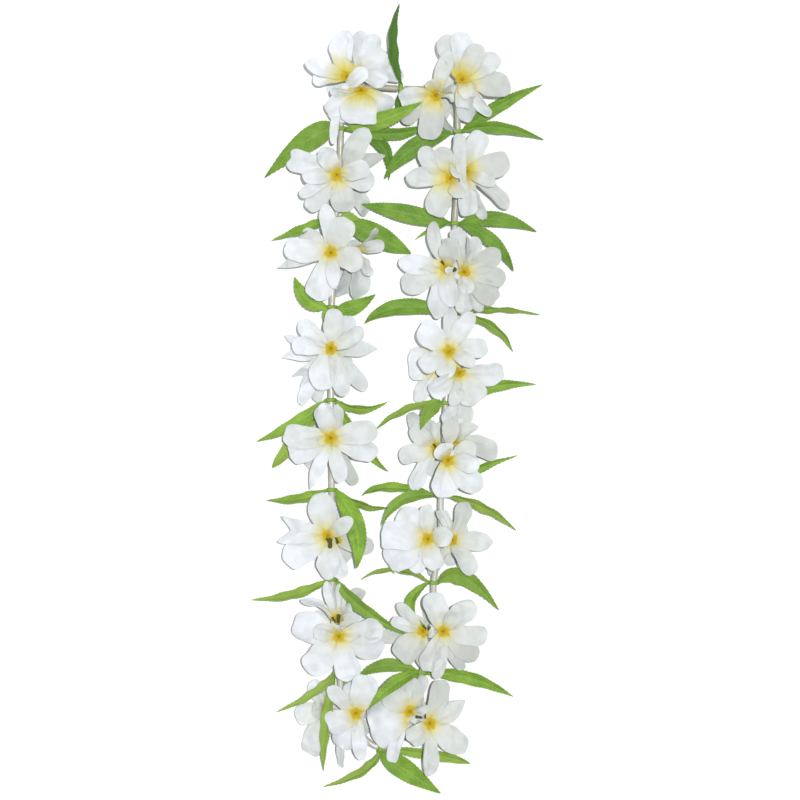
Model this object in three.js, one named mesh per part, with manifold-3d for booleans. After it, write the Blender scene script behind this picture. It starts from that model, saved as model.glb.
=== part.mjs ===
// A flower lei laid flat in one long closed loop, in millimetres, with +Z up.
// White fabric blooms and whorls of green leaves are threaded in turn on a string, over spacer tubes.
// The origin is under the middle of the loop, on the surface that the lei lies on.
import * as THREE from "three";
import { mergeVertices } from "three/addons/utils/BufferGeometryUtils.js";
import Module from "manifold-3d";

const wasm = await Module();
wasm.setup();

// Driving sizes
const STRING_HEIGHT = 14;
const STRING_RADIUS = 0.5;
const STRING_SIDES = 5;
const KNOT_RADIUS = 1.3;
const BORE_RADIUS = 1.25;
const TUBE_RADIUS = 1.9;
const TUBE_SIDES = 6;
const CLEARANCE = 0.5;
const END_GAP = 0.35;
const TUBE_END_ROOM = 0.3;
const LARGEST_SAG = 0.25;
const CORE_RADIUS = 3.1;
const CORE_LENGTH = 9;
const HUB_RADIUS = 4;
const HUB_WALL_MIDDLE = 3;
const HUB_LENGTH = 3;
const KNOT_ROOM = 3.8;
const NEIGHBOUR_REACH = 40;
const SMALLEST_EDGE = 0.05;
const WELD = 1e-4;
const BORE_OVERRUN = 1;
const PETAL_THICKNESS = 0.7;
const LEAF_THICKNESS = 0.7;
const STEM_RADIUS = 1.5;
const STEM_SIDES = 5;
const STAR_RADIUS = 3.3;
const STAR_RISE = 1;
const THROAT_RING = 2.1;

// Petal form, as shares of the petal's own length or half width
const PETAL_WIDEST = 0.66;
const PETAL_ROOT = 0.17;
const PETAL_ARCH = 0.11;
const PETAL_CUP = 0.16;
const PETAL_ROWS = [0, 0.58, 0.95];

// Leaf form: the skew moves the widest place towards the root, the fullness rounds the sides
const LEAF_ROWS = 6;
const SHORT_LEAF = 25;
const SHORT_LEAF_ROWS = 4;
const LEAF_NOTCH = 0.8;
const LEAF_STALK = 1.3;
const LEAF_SKEW = 0.82;
const LEAF_FULLNESS = 0.9;

// Back layer of petals that each bloom rests on
const BACK_PETALS = 5;
const BACK_REACH = 18;
const BACK_NOTCH = 6;
const BACK_THICKNESS = 0.7;
const BACK_STEM_RADIUS = 3;
const BACK_TURN = 0.25;

// How finely the route is measured, and the factor between a chord's sag and its arc's length times its turn
const SAMPLES_A_POINT = 60;
const TURN_SAMPLES = 8;
const CHORD_FACTOR = 8;

// The string's route, seen from above, from the top of the loop down the left side and up the right
const ROUTE = [
  [1.9, 194.4],
  [-26.9, 193.1],
  [-35.6, 180.6],
  [-35.6, 169.4],
  [-36.9, 138.1],
  [-38.8, 113.1],
  [-40, 90],
  [-41.3, 57.5],
  [-41.9, 31.3],
  [-41.9, -0.6],
  [-41.9, -24.4],
  [-41.3, -56.9],
  [-41.9, -86.9],
  [-41.3, -113.1],
  [-38.8, -143.1],
  [-36.9, -170],
  [-31.3, -197.5],
  [-11.3, -218.1],
  [10.6, -198.8],
  [15, -171.3],
  [21.9, -145.6],
  [22.5, -115],
  [26.3, -88.1],
  [26.9, -60.6],
  [28.8, -31.9],
  [30, -2.5],
  [33.1, 26.9],
  [35.6, 53.8],
  [36.3, 81.9],
  [35.6, 110],
  [37.5, 136.9],
  [37.5, 167.5],
  [33.8, 190],
];

// Blooms, each a cluster of two or three florets on the string at its route point.
// A floret has its throat (x, y, height), the way it faces, and its petals.
// A petal is the tip's offset from the throat (x, y, up), its width, and how far it is rolled, in degrees.
// Petals that stand on edge or are narrower than 9 are left out here.
const BLOOMS = {
  left_1: {
    at: 1,
    florets: [
      {
        throat: [-31.9, 201.3, 21],
        faces: [-0.3, 0.3, 1],
        petals: [
          [-25.6, 10.6, 3, 11],
          [-21.3, 3.4, -6, 9, 30],
          [1.9, 28.8, 0, 15],
          [11.9, 4.4, 15, 9],
        ],
      },
      {
        throat: [-23.1, 193.1, 20],
        faces: [0, -0.5, 1],
        petals: [
          [-18.8, 0, 9, 9, -30],
          [-21.9, -13.8, -2, 15.6],
          [-3.8, -23.8, 3, 15],
          [21.9, -17.5, -3, 12.5],
        ],
      },
      {
        throat: [-18.8, 204.4, 14],
        faces: [0.7, 0.2, 0.7],
        petals: [
          [6.3, 23.1, 3, 10],
          [9.4, 10.6, 14, 11.3],
          [10.6, -5, 12, 10],
          [-1.3, 25.6, -7, 9],
        ],
      },
    ],
  },
  left_2: {
    at: 4,
    florets: [
      {
        throat: [-38.1, 140, 23],
        faces: [0, 0, 1],
        petals: [
          [-21.3, -1.9, 8, 10],
          [-18.1, -21.9, -2, 12.5],
          [5, -23.1, -2, 15],
          [23.1, -5.6, 1, 13.8],
          [19.4, 5, 11, 11.3],
          [-9.4, 16.9, 10, 12.5],
          [-30, 10.6, -8, 12.5],
        ],
      },
      {
        throat: [-33.1, 141.9, 10],
        faces: [0.3, 0.3, 1],
        petals: [
          [13.1, 27.5, 3, 13.8],
          [25, 10.6, 3, 9],
          [13.1, -26.3, -7, 9.4],
        ],
      },
    ],
  },
  left_3: {
    at: 6,
    florets: [
      {
        throat: [-41.9, 91.3, 23],
        faces: [0, 0, 1],
        petals: [
          [-3.8, 30, 5, 10],
          [-28.8, 3.1, 1, 15],
          [-8.1, -29.4, -1, 15.6],
          [10, 21.3, 8, 16],
          [19.4, -7.5, 7, 15],
          [1.9, -21.9, 9, 9],
        ],
      },
      {
        throat: [-25.6, 93.1, 13],
        faces: [0.7, 0, 0.7],
        petals: [
          [16.9, 4.4, 8, 9],
          [3.1, -30, -2, 9],
          [-7.5, -30, -4, 11.3],
        ],
      },
    ],
  },
  left_4: {
    at: 8,
    florets: [
      {
        throat: [-41.9, 31.3, 24],
        faces: [0, 0, 1],
        petals: [
          [2.5, 25, 2, 12],
          [-19.4, 16.9, 3, 11.3],
          [-29.4, 2.5, -2, 10],
          [-6.9, -25.6, 0, 15],
          [8.8, -29.4, 0, 9.4],
          [20.6, 11.9, 4, 12.5],
        ],
      },
      {
        throat: [-41.9, 29.5, 11],
        faces: [0, 0, 1],
        petals: [
          [29.4, 1.9, 3, 12.5],
          [21.9, -23.8, -2, 10],
          [13.1, 21.9, 5, 9],
        ],
      },
    ],
  },
  left_5: {
    at: 10,
    florets: [
      {
        throat: [-41.9, -24.4, 23],
        faces: [0, 0, 1],
        petals: [
          [-5.6, 22.5, 8, 15.6],
          [28.8, 5, 2, 15],
          [28.1, -10.6, -4, 13.8],
          [6.9, -27.5, 0, 10],
          [-13.1, -31.9, -3, 9],
          [-25.6, -10.6, -3, 10],
          [-29.4, 1.9, 0, 15],
        ],
      },
      {
        throat: [-39.4, -25.6, 11],
        faces: [0, 0, 1],
        petals: [
          [12.5, -28.1, -2, 8.8],
        ],
      },
    ],
  },
  left_6: {
    at: 12,
    florets: [
      {
        throat: [-43.8, -85.6, 22],
        faces: [-0.2, 0, 1],
        petals: [
          [-5, 26.9, 0, 17.5],
          [-29.4, 11.9, -2, 9],
          [-31.3, -2.5, -2, 9],
          [-26.3, -16.3, -1, 17.5],
          [2.5, -27.5, 1, 16],
          [15.6, 10, 16, 9],
        ],
      },
      {
        throat: [-39.4, -88.1, 10],
        faces: [0.3, 0, 1],
        petals: [[23.8, -5, 2, 12.5]],
      },
    ],
  },
  left_7: {
    at: 14,
    florets: [
      {
        throat: [-36.9, -148.1, 23],
        faces: [0, -0.2, 1],
        petals: [
          [-19.4, -22.5, 0, 18.8],
          [8.1, -27.5, 1, 15],
          [27.5, -8.8, -4, 12.5],
          [27.5, 5, 1, 13.8],
          [-30, 5.6, 0, 17],
        ],
      },
      {
        throat: [-38.1, -138.1, 17],
        faces: [0, 0.6, 1],
        petals: [
          [-6.3, 23.8, 4, 10],
          [-21.9, 12.5, 8, 9, 30],
          [10, 7.5, 15, 9],
          [16.3, 18.8, -6, 10],
        ],
      },
      {
        throat: [-24.5, -145.6, 10],
        faces: [0, 0, 1],
        petals: [[28.8, -3.8, -2, 9]],
      },
    ],
  },
  left_8: {
    at: 16,
    florets: [
      {
        throat: [-26.3, -196.3, 23],
        faces: [0, 0, 1],
        petals: [
          [-16.3, 16.9, 4, 10],
          [6.9, 24.4, 5, 17],
          [-10, -22.5, 3, 17],
          [3.8, -29.4, 0, 9.4],
        ],
      },
      {
        throat: [-44.3, -194.1, 11],
        faces: [-0.5, 0, 1],
        petals: [
          [-9.4, 17.5, 4, 9],
          [-19.4, -5.6, 1, 12.5],
          [-10, -28.8, -3, 13.8],
          [10, -9.5, 3, 12],
        ],
      },
    ],
  },
  right_8: {
    at: 18,
    florets: [
      {
        throat: [20, -202.5, 24],
        faces: [0, 0, 1],
        petals: [
          [8.1, 26.9, -1, 12.5],
          [21.9, 15.6, 1, 12],
          [22.5, -16.9, 0, 16],
          [-1.3, -33, -2, 13.8],
          [-11.3, -13.1, 9, 9],
        ],
      },
      {
        throat: [7.5, -195.6, 20],
        faces: [-0.3, 0.3, 1],
        petals: [
          [-15.6, 12.5, 5, 15],
          [-25, -5, 1, 15],
          [-18.8, -20, 0, 15],
          [-11.9, -31.9, -4, 9],
          [0, 21.3, 0, 12.5],
        ],
      },
    ],
  },
  right_7: {
    at: 20,
    florets: [
      {
        throat: [28.1, -145, 23],
        faces: [0.2, 0, 1],
        petals: [
          [-8.1, 23.8, 4, 15],
          [20, 18.1, 0, 13.8],
          [11.9, 16.6, 8, 10],
          [27.5, -3.1, 0, 13],
          [21.9, -16.9, -3, 14],
          [-4.4, -29.4, 1, 8.8],
        ],
      },
      {
        throat: [15.6, -145, 20],
        faces: [-0.4, 0, 1],
        petals: [
          [-14.4, -18.1, 2, 18],
          [1.3, -23.1, 3, 10],
        ],
      },
    ],
  },
  right_6: {
    at: 22,
    florets: [
      {
        throat: [18.8, -87.5, 22],
        faces: [-0.2, 0, 1],
        petals: [
          [-17.5, 18.1, 0, 16],
          [-29.4, 2.5, -1, 13.8],
          [-25, -16.3, -2, 13.8],
          [5.6, -18.1, 8, 12.5],
          [15, 2.5, 12, 12.5],
        ],
      },
      {
        throat: [33.8, -88.1, 16],
        faces: [0.5, 0, 1],
        petals: [
          [8.1, 23.8, 3, 11.3],
          [25, -1.9, 2, 12.5],
          [12.5, -21.9, 7, 12.5],
        ],
      },
    ],
  },
  right_5: {
    at: 24,
    florets: [
      {
        throat: [33.8, -26.3, 15],
        faces: [0.3, 0.5, 0.8],
        petals: [
          [8.1, 24.4, 1, 13.8],
          [-1.3, 22.5, 4, 14],
          [14.4, 10, 9, 9],
          [28.1, -8.8, -3, 16],
        ],
      },
      {
        throat: [23.8, -30.6, 17],
        faces: [-0.5, 0, 1],
        petals: [
          [-16.9, 21.9, -4, 10],
          [-15, 13.1, 6, 11],
          [-23.1, -6.3, 1, 12.5],
          [-14.4, -26.3, 2, 10.6],
        ],
      },
      {
        throat: [31.3, -38.1, 23],
        faces: [0.2, -0.2, 1],
        petals: [
          [-3.8, -23.8, 1, 16.5],
          [20, -1.9, 6, 15],
          [20, -18.8, 0, 15],
          [-5, 7.3, 11, 9],
        ],
      },
    ],
  },
  right_4: {
    at: 26,
    florets: [
      {
        throat: [31.9, 29.4, 24],
        faces: [0, 0.1, 1],
        petals: [
          [-18.1, 16.9, 2, 16],
          [1.9, 27.5, -2, 9],
          [15, 24.4, 1, 11.3],
          [23.8, 2.5, 4, 12.5],
          [15.3, -7.8, 10, 9],
          [-18.1, -10, 9, 12.5],
        ],
      },
      {
        throat: [38.1, 16.3, 19],
        faces: [0.3, -0.4, 1],
        petals: [
          [28.1, 0.6, -2, 15],
          [11.9, -18.8, 2, 18],
          [-3.8, -20, 5, 9],
          [-18.1, -12.5, 2, 14],
        ],
      },
      {
        throat: [26.3, 22.3, 10],
        faces: [-0.4, 0, 1],
        petals: [
          [-19.4, 1.9, 1, 12.5],
        ],
      },
    ],
  },
  right_3: {
    at: 28,
    florets: [
      {
        throat: [30, 81.9, 22],
        faces: [-0.3, 0, 1],
        petals: [
          [-8.8, 28.8, -1, 9.4],
          [-29.4, 3.8, -1, 12.5],
          [-27.5, -11.9, -3, 15],
          [-5.6, -31.3, -1, 14],
          [3.1, -23.8, 7, 12],
          [4.4, 18.8, 14, 13],
        ],
      },
      {
        throat: [41.3, 79.4, 20],
        faces: [0.3, 0, 1],
        petals: [
          [-5.6, 27.5, -3, 11.3],
          [22.5, 12.5, 2, 13.8],
          [25.6, -5, 1, 12.5],
          [19.4, -18.8, -1, 15],
          [10, -25, 1, 8.8],
        ],
      },
    ],
  },
  right_2: {
    at: 30,
    florets: [
      {
        throat: [33.1, 138.1, 22],
        faces: [-0.3, 0, 1],
        petals: [
          [-19.4, 19.4, 2, 10],
          [-5.6, 19.4, 8, 12.5],
          [-28.1, -0.6, 1, 12.5],
          [-10.4, -24, 2, 16],
          [6.3, -12.5, 12, 8.8],
        ],
      },
      {
        throat: [42.5, 141.9, 20],
        faces: [0.3, 0, 1],
        petals: [
          [8.8, 25.6, 2, 13.8],
          [26.9, 7.5, 2, 16],
          [26.9, -22.5, -5, 9],
          [1.3, -27.5, 1, 12.5],
        ],
      },
    ],
  },
  right_1: {
    at: 32,
    florets: [
      {
        throat: [40, 199.4, 23],
        faces: [0.2, 0.2, 1],
        petals: [
          [-11.9, 27.5, 0, 13.8],
          [-1.9, 30, 2, 13.8],
          [11.3, 21.9, 6, 10],
          [23.1, 14.4, 4, 12.5],
          [30, -6.3, 0, 16],
          [5, -26.3, -2, 12.5],
          [1.9, -17.5, 9, 12],
          [-10.4, 16.8, 12, 9],
        ],
      },
      {
        throat: [23.8, 190, 19],
        faces: [-0.3, -0.4, 1],
        petals: [
          [-23.1, -1.9, 2, 15],
          [-3.1, 9.1, 9, 9],
          [-21.3, -16.9, -4, 9],
          [-5, -28.1, 1, 16],
        ],
      },
    ],
  },
};

// Whorls of leaves, each on the string at its route point.
// A leaf is its middle's and its tip's offsets from the hub (x, y, up), its width and its roll in degrees.
const WHORLS = {
  top: {
    at: 0,
    leaves: [
      [[-5.6, 27.5, 4], [-0.6, 52.5, -2], 10, 50],
      [[-1, -9, -4], [-3.8, -16.9, -8], 6, 30],
    ],
  },
  left_1_2: {
    at: 3,
    leaves: [
      [[-20.6, -6.3, 3], [-47.5, -30, -9], 15, 0],
      [[26.3, 6.3, 0], [49.4, 15.6, 2], 11.3, 0],
      [[33.8, -2.5, -2], [54.4, 3.8, -6], 8.5, 25],
      [[25.6, -9.6, -5], [28.8, -31.3, -11], 9.5, 20],
    ],
  },
  left_2_3: {
    at: 5,
    leaves: [
      [[-20.6, -7.5, 1], [-40, -13.1, -7], 9, 45],
      [[26.3, -12.5, -3], [46.3, -21.3, -9], 15, 0],
      [[8, 1, 1], [15, -1.3, 0], 7, 0],
    ],
  },
  left_3_4: {
    at: 7,
    leaves: [
      [[-15.6, 5.6, 0], [-23.1, 18.8, -4], 10.6, 0],
      [[13.8, 0, 2], [26.9, 8.1, -3], 10, 0],
      [[-4, -5, 0], [-4.4, -11.3, -3], 5, 0],
    ],
  },
  left_4_5: {
    at: 9,
    leaves: [
      [[-22.5, -15, 0], [-46.3, -25.6, -9], 9, 20],
      [[-25.6, -28.1, -7], [-36.9, -41.9, -12], 9.5, 15],
      [[18.1, -5.6, 1], [35, -1.3, -5], 8, 50],
      [[19.4, -28.1, -8], [35, -44.4, -12], 8, 30],
    ],
  },
  left_5_6: {
    at: 11,
    leaves: [
      [[-20, -5.6, 2], [-40.6, -6.3, -7], 9, 45],
      [[18.8, -9.4, 0], [35.6, -11.3, -8], 8, 55],
      [[14.4, -23.8, 14], [15, -48.1, 11], 13, 0],
    ],
  },
  left_6_7: {
    at: 13,
    leaves: [
      [[-23.1, -10, 3], [-50, -12.5, -8], 9, 45],
      [[20.6, -17.5, 12], [47.5, -34.4, 4], 9, 25],
    ],
  },
  left_7_8: {
    at: 15,
    leaves: [
      [[-15, -14.4, 10], [-38.8, -25.6, -4], 8, 50],
      [[-6.9, -33.8, 9], [-10, -62.5, -6], 9, 40],
      [[3, -6, 0], [4.4, -11.9, -1], 6, 0],
    ],
  },
  bottom: {
    at: 17,
    leaves: [
      [[-11.3, -15, 2], [-35.6, -25, -9], 8, 50],
      [[15.6, -15, -5], [37.5, -29.4, -12], 13.8, 0],
      [[37.5, -5.6, -10], [55.6, -11.3, -12], 8, 20],
    ],
  },
  right_7_8: {
    at: 19,
    leaves: [
      [[30, -3.8, -3], [56.3, -15.6, -10], 9.5, 20],
      [[-23.1, 4.4, -6], [-40.6, -4.4, -10], 9, 15],
      [[-18.8, -7.5, 15], [-33.1, -21.9, 14], 9, 20],
      [[-8, -9, -5], [-15, -16.9, -8], 5, 0],
    ],
  },
  right_6_7: {
    at: 21,
    leaves: [
      [[-24.4, 8.1, 2], [-45, 1.9, -5], 8, 65],
      [[19.4, 3.8, 1], [40, -17.5, -8], 12, 20],
      [[-15, -13.8, 0], [-4.4, -27.5, 9], 8, 30],
    ],
  },
  right_5_6: {
    at: 23,
    leaves: [
      [[-31.9, 5.6, 1], [-48.8, 0, -6], 8, 45],
      [[-23.8, -3.1, 11], [-36.3, -18.1, 8], 8.5, 30],
      [[27.5, -6.9, 2], [46.3, -21.9, -8], 8.5, 45],
      [[18.1, 14.4, -8], [47.5, 24.4, -11], 8, 35],
    ],
  },
  right_4_5: {
    at: 25,
    leaves: [
      [[-25.6, -4.4, 2], [-43.8, -16.9, -7], 8, 55],
      [[-10, -4.4, 7], [-15.6, -16.3, 14.5], 10, 0],
      [[27.5, 10.6, -10], [55.6, 11.3, -12], 9, 20],
    ],
  },
  right_3_4: {
    at: 27,
    leaves: [
      [[-35, 3.1, -2], [-55.6, -6.3, -9], 11, 15],
      [[27.5, 3.1, 0], [52.5, -1.3, -6], 8, 65],
      [[24.4, -8.8, -3], [35.6, -23.8, -9], 8, 50],
    ],
  },
  right_2_3: {
    at: 29,
    leaves: [
      [[-31.3, 6.3, 0], [-57.5, 11.9, -4], 12, 0],
      [[26.9, 2.5, 0], [50.6, -5, -8], 10, 0],
      [[23.1, -11.9, 5], [36.3, -29.4, -4], 9, 0],
      [[-14, -4, 0], [-24.4, -9.4, -3], 6, 55],
    ],
  },
  right_1_2: {
    at: 31,
    leaves: [
      [[25, 17.5, -7], [52.5, 29.4, -9], 9, 15],
      [[26.3, 3.1, 2], [53.1, -5, -7], 8.5, 25],
      [[-28.8, -10.6, -1], [-45, -28.8, -4], 12, 0],
    ],
  },
};

const FABRIC_WHITE = new THREE.MeshStandardMaterial({ color: 0xf1f3f6, roughness: 0.85 });
const FABRIC_GREEN = new THREE.MeshStandardMaterial({ color: 0x6f9f35, roughness: 0.7 });
const CLEAR_PLASTIC = new THREE.MeshStandardMaterial({ color: 0xcdcbb4, roughness: 0.35 });
const COTTON = new THREE.MeshStandardMaterial({ color: 0xe6e2d2, roughness: 0.9 });

// The route as a closed curve at the string's height, with each route point's place along it
const route = new THREE.CatmullRomCurve3(
  ROUTE.map(([x, y]) => new THREE.Vector3(x, y, STRING_HEIGHT)),
  true,
  "centripetal",
);
route.arcLengthDivisions = ROUTE.length * SAMPLES_A_POINT;
const routeLength = route.getLength();

function placesOnRoute() {
  const lengths = route.getLengths();
  return ROUTE.map((point, i) => lengths[(i * (lengths.length - 1)) / ROUTE.length]);
}
const places = placesOnRoute();

// A stretch of the route between two distances along it
class Stretch extends THREE.Curve {
  constructor(from, to) {
    super();
    this.from = from;
    this.to = to;
  }
  getPoint(t, target = new THREE.Vector3()) {
    const distance = THREE.MathUtils.lerp(this.from, this.to, t);
    return route.getPointAt(THREE.MathUtils.euclideanModulo(distance / routeLength, 1), target);
  }
}

function solidOf(geometry) {
  const bare = geometry.clone();
  bare.deleteAttribute("normal");
  bare.deleteAttribute("uv");
  const merged = mergeVertices(bare, WELD);
  return new wasm.Manifold(
    new wasm.Mesh({
      numProp: 3,
      vertProperties: new Float32Array(merged.attributes.position.array),
      triVerts: new Uint32Array(merged.index.array),
    }),
  );
}

function meshOf(name, solid, material) {
  const { vertProperties, triVerts } = solid.getMesh();
  const geometry = new THREE.BufferGeometry();
  geometry.setAttribute("position", new THREE.BufferAttribute(vertProperties, 3));
  geometry.setIndex(new THREE.BufferAttribute(triVerts, 1));
  geometry.computeVertexNormals();
  const mesh = new THREE.Mesh(geometry, material);
  mesh.name = name;
  return mesh;
}

// The unit direction of a vector's share square to an axis
function acrossAxis(vector, axis) {
  return vector.clone().addScaledVector(axis, -vector.dot(axis)).normalize();
}

// The largest body of a solid, without any scrap that a cut left loose
function largestBody(solid) {
  return solid.decompose().reduce((a, b) => (b.volume() > a.volume() ? b : a));
}

// How many straight steps follow a stretch so closely that none is off its curve by more than the sag
function stepsAlong(from, to) {
  const stretch = new Stretch(from, to);
  let turn = 0;
  for (let i = 0; i < TURN_SAMPLES; i += 1)
    turn += stretch.getTangent(i / TURN_SAMPLES).angleTo(stretch.getTangent((i + 1) / TURN_SAMPLES));
  return Math.max(1, Math.ceil(Math.sqrt(((to - from) * turn) / (CHORD_FACTOR * LARGEST_SAG))));
}

// A round bar along a stretch of the route
function barAlong(from, to, radius, sides) {
  const corners = Array.from({ length: sides }, (unused, i) => {
    const angle = (2 * Math.PI * (i + 0.5)) / sides;
    return new THREE.Vector2(radius * Math.cos(angle), radius * Math.sin(angle));
  });
  const bar = new THREE.ExtrudeGeometry(new THREE.Shape(corners), {
    steps: stepsAlong(from, to),
    bevelEnabled: false,
    extrudePath: new Stretch(from, to),
  });
  return solidOf(bar);
}

// Triangles between two rows of point numbers that may differ in length
function joinRows(near, far) {
  const faces = [];
  let i = 0;
  let j = 0;
  while (i < near.length - 1 || j < far.length - 1) {
    const nearNext = (i + 1) / Math.max(1, near.length - 1);
    const farNext = (j + 1) / Math.max(1, far.length - 1);
    const stepNear = j === far.length - 1 || (i < near.length - 1 && nearNext <= farNext);
    if (stepNear) {
      faces.push([near[i], near[i + 1], far[j]]);
      i += 1;
    } else {
      faces.push([near[i], far[j + 1], far[j]]);
      j += 1;
    }
  }
  return faces;
}

// A thin closed blade from rows of points across it, with the same triangles on both of its faces.
// Each row is { points, normal }.
function bladeGeometry(rows, thickness) {
  const positions = [];
  let count = 0;
  const numbered = rows.map(({ points }) => points.map(() => count++));
  for (const side of [0.5, -0.5])
    for (const { points, normal } of rows)
      for (const point of points)
        positions.push(...point.clone().addScaledVector(normal, side * thickness).toArray());
  const front = numbered.slice(1).flatMap((row, i) => joinRows(numbered[i], row));
  const back = front.map(([a, b, c]) => [a + count, c + count, b + count]);
  const last = numbered.at(-1);
  const edge = [
    ...numbered[0],
    ...numbered.slice(1, -1).map((row) => row.at(-1)),
    ...last.toReversed(),
    ...numbered.slice(1, -1).map((row) => row[0]).toReversed(),
  ];
  const rim = edge.flatMap((a, i) => {
    const b = edge[(i + 1) % edge.length];
    return [
      [a, a + count, b],
      [b, a + count, b + count],
    ];
  });
  const geometry = new THREE.BufferGeometry();
  geometry.setAttribute("position", new THREE.Float32BufferAttribute(positions, 3));
  geometry.setIndex([...front, ...back, ...rim].flat());
  return geometry;
}

// A blade as a solid, turned the right way out
function bladeSolid(rows, thickness) {
  const geometry = bladeGeometry(rows, thickness);
  const solid = solidOf(geometry);
  if (solid.volume() > 0) return solid;
  const index = geometry.index.array;
  for (let i = 0; i < index.length; i += 3) [index[i + 1], index[i + 2]] = [index[i + 2], index[i + 1]];
  return solidOf(geometry);
}

// A petal's half width at a share of its length, as a share of its greatest
function petalOutline(t) {
  if (t < PETAL_WIDEST)
    return PETAL_ROOT + (1 - PETAL_ROOT) * Math.sin((0.5 * Math.PI * t) / PETAL_WIDEST);
  return Math.sqrt(1 - ((t - PETAL_WIDEST) / (1 - PETAL_WIDEST)) ** 2);
}

// A spoon-shaped petal that arches from its root in the throat to its tip
function petal(root, tip, faces, width, roll = 0) {
  const along = tip.clone().sub(root);
  const length = along.length();
  along.normalize();
  const up = faces.clone().addScaledVector(along, -faces.dot(along)).normalize();
  up.applyAxisAngle(along, THREE.MathUtils.degToRad(roll));
  const across = new THREE.Vector3().crossVectors(along, up);
  const rows = PETAL_ROWS.map((t) => {
    const half = 0.5 * width * petalOutline(t);
    const middle = root
      .clone()
      .addScaledVector(along, length * t)
      .addScaledVector(up, length * PETAL_ARCH * Math.sin(Math.PI * t));
    const edges = [-1, 1].map((side) =>
      middle.clone().addScaledVector(across, side * half).addScaledVector(up, PETAL_CUP * half),
    );
    return { points: t > 0 ? edges : [middle], normal: up };
  });
  return bladeSolid(rows, PETAL_THICKNESS);
}

// A leaf's half width at a share of its length, as a share of its greatest
function leafOutline(t) {
  return Math.sin(Math.PI * t ** LEAF_SKEW) ** LEAF_FULLNESS;
}

// A notched leaf that curves from the hub over its middle to its tip
function leaf(hub, middle, tip, width, roll) {
  const control = middle.clone().multiplyScalar(2).addScaledVector(hub, -0.5).addScaledVector(tip, -0.5);
  const rib = new THREE.QuadraticBezierCurve3(hub, control, tip);
  const steps = hub.distanceTo(tip) < SHORT_LEAF ? SHORT_LEAF_ROWS : LEAF_ROWS;
  const rows = [];
  for (let i = 0; i <= steps; i += 1) {
    const t = i / steps;
    const along = rib.getTangent(t);
    const up = new THREE.Vector3(0, 0, 1).addScaledVector(along, -along.z).normalize();
    up.applyAxisAngle(along, THREE.MathUtils.degToRad(roll));
    const across = new THREE.Vector3().crossVectors(along, up);
    const notch = i % 2 ? 1 : LEAF_NOTCH;
    const half = Math.max(LEAF_STALK, 0.5 * width * leafOutline(t) * notch);
    const centre = rib.getPoint(t);
    const edges = [-1, 1].map((side) => centre.clone().addScaledVector(across, side * half));
    rows.push({ points: i === steps ? [centre] : edges, normal: up });
  }
  return bladeSolid(rows, LEAF_THICKNESS);
}

// A floret's stem, widening from the core to the raised star in its throat
function stemAndStar(foot, throat, faces) {
  const reach = throat.clone().sub(foot).normalize();
  const axis = faces.clone().multiplyScalar(reach.dot(faces) < 0 ? -1 : 1);
  const rings = [
    { centre: foot, radius: STEM_RADIUS, axis: reach },
    { centre: throat.clone().addScaledVector(axis, STAR_RISE), radius: STAR_RADIUS, axis },
  ];
  return solidOf(ringsGeometry(rings, STEM_SIDES));
}

// A body through rings of corners, each round its own centre and axis, with flat ends or closed on itself
function ringsGeometry(rings, sides, isLoop = false) {
  const positions = [];
  const index = [];
  const turn = new THREE.Quaternion();
  const lastAxis = new THREE.Vector3(0, 0, 1);
  for (const { centre, radius, axis } of rings) {
    turn.premultiply(new THREE.Quaternion().setFromUnitVectors(lastAxis, axis));
    lastAxis.copy(axis);
    for (let i = 0; i < sides; i += 1) {
      const angle = (2 * Math.PI * i) / sides;
      const corner = new THREE.Vector3(radius * Math.cos(angle), radius * Math.sin(angle), 0);
      positions.push(...corner.applyQuaternion(turn).add(centre).toArray());
    }
  }
  const bands = isLoop ? rings.length : rings.length - 1;
  const top = (rings.length - 1) * sides;
  for (let i = 0; i < sides; i += 1) {
    const next = (i + 1) % sides;
    for (let band = 0; band < bands; band += 1) {
      const low = band * sides;
      const high = ((band + 1) % rings.length) * sides;
      index.push(low + i, low + next, high + i, low + next, high + next, high + i);
    }
    if (i > 1 && !isLoop) index.push(0, i, i - 1, top, top + i - 1, top + i);
  }
  const geometry = new THREE.BufferGeometry();
  geometry.setAttribute("position", new THREE.Float32BufferAttribute(positions, 3));
  geometry.setIndex(index);
  return geometry;
}

// The string, one closed loop with its knot in the top whorl's hub
function stringSolid() {
  const rings = [];
  for (let i = 0; i < places.length; i += 1) {
    const from = places[i];
    const to = i + 1 < places.length ? places[i + 1] : routeLength;
    const stretch = new Stretch(from, to);
    const steps = stepsAlong(from, to);
    for (let step = 0; step < steps; step += 1) {
      const t = step / steps;
      rings.push({ centre: stretch.getPoint(t), radius: STRING_RADIUS, axis: stretch.getTangent(t) });
    }
  }
  const knot = new THREE.IcosahedronGeometry(KNOT_RADIUS, 0);
  knot.translate(...route.getPointAt(0).toArray());
  return solidOf(ringsGeometry(rings, STRING_SIDES, true)).add(solidOf(knot));
}

// The room that the string needs through a core, a hub or a tube
function bore(from, to) {
  return barAlong(from - BORE_OVERRUN, to + BORE_OVERRUN, BORE_RADIUS, TUBE_SIDES);
}

// A spacer tube, open at both ends, along a stretch
function tubeSolid(from, to) {
  return barAlong(from, to, TUBE_RADIUS, TUBE_SIDES).subtract(bore(from, to));
}

// The stretches of route that spacer tubes fill: core to core, and one each side of the knot
function tubeStretches() {
  const stops = Object.values(BLOOMS).map(({ at }) => places[at]);
  const half = CORE_LENGTH / 2 + END_GAP;
  const first = stops[0];
  const last = stops.at(-1);
  return [
    [KNOT_ROOM / 2, first - half],
    ...stops.slice(1).map((stop, i) => [stops[i] + half, stop - half]),
    [last + half, routeLength - KNOT_ROOM / 2],
  ];
}

// How far two places are apart along the loop
function apart(one, other) {
  const straight = Math.abs(one - other) % routeLength;
  return Math.min(straight, routeLength - straight);
}

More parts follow.
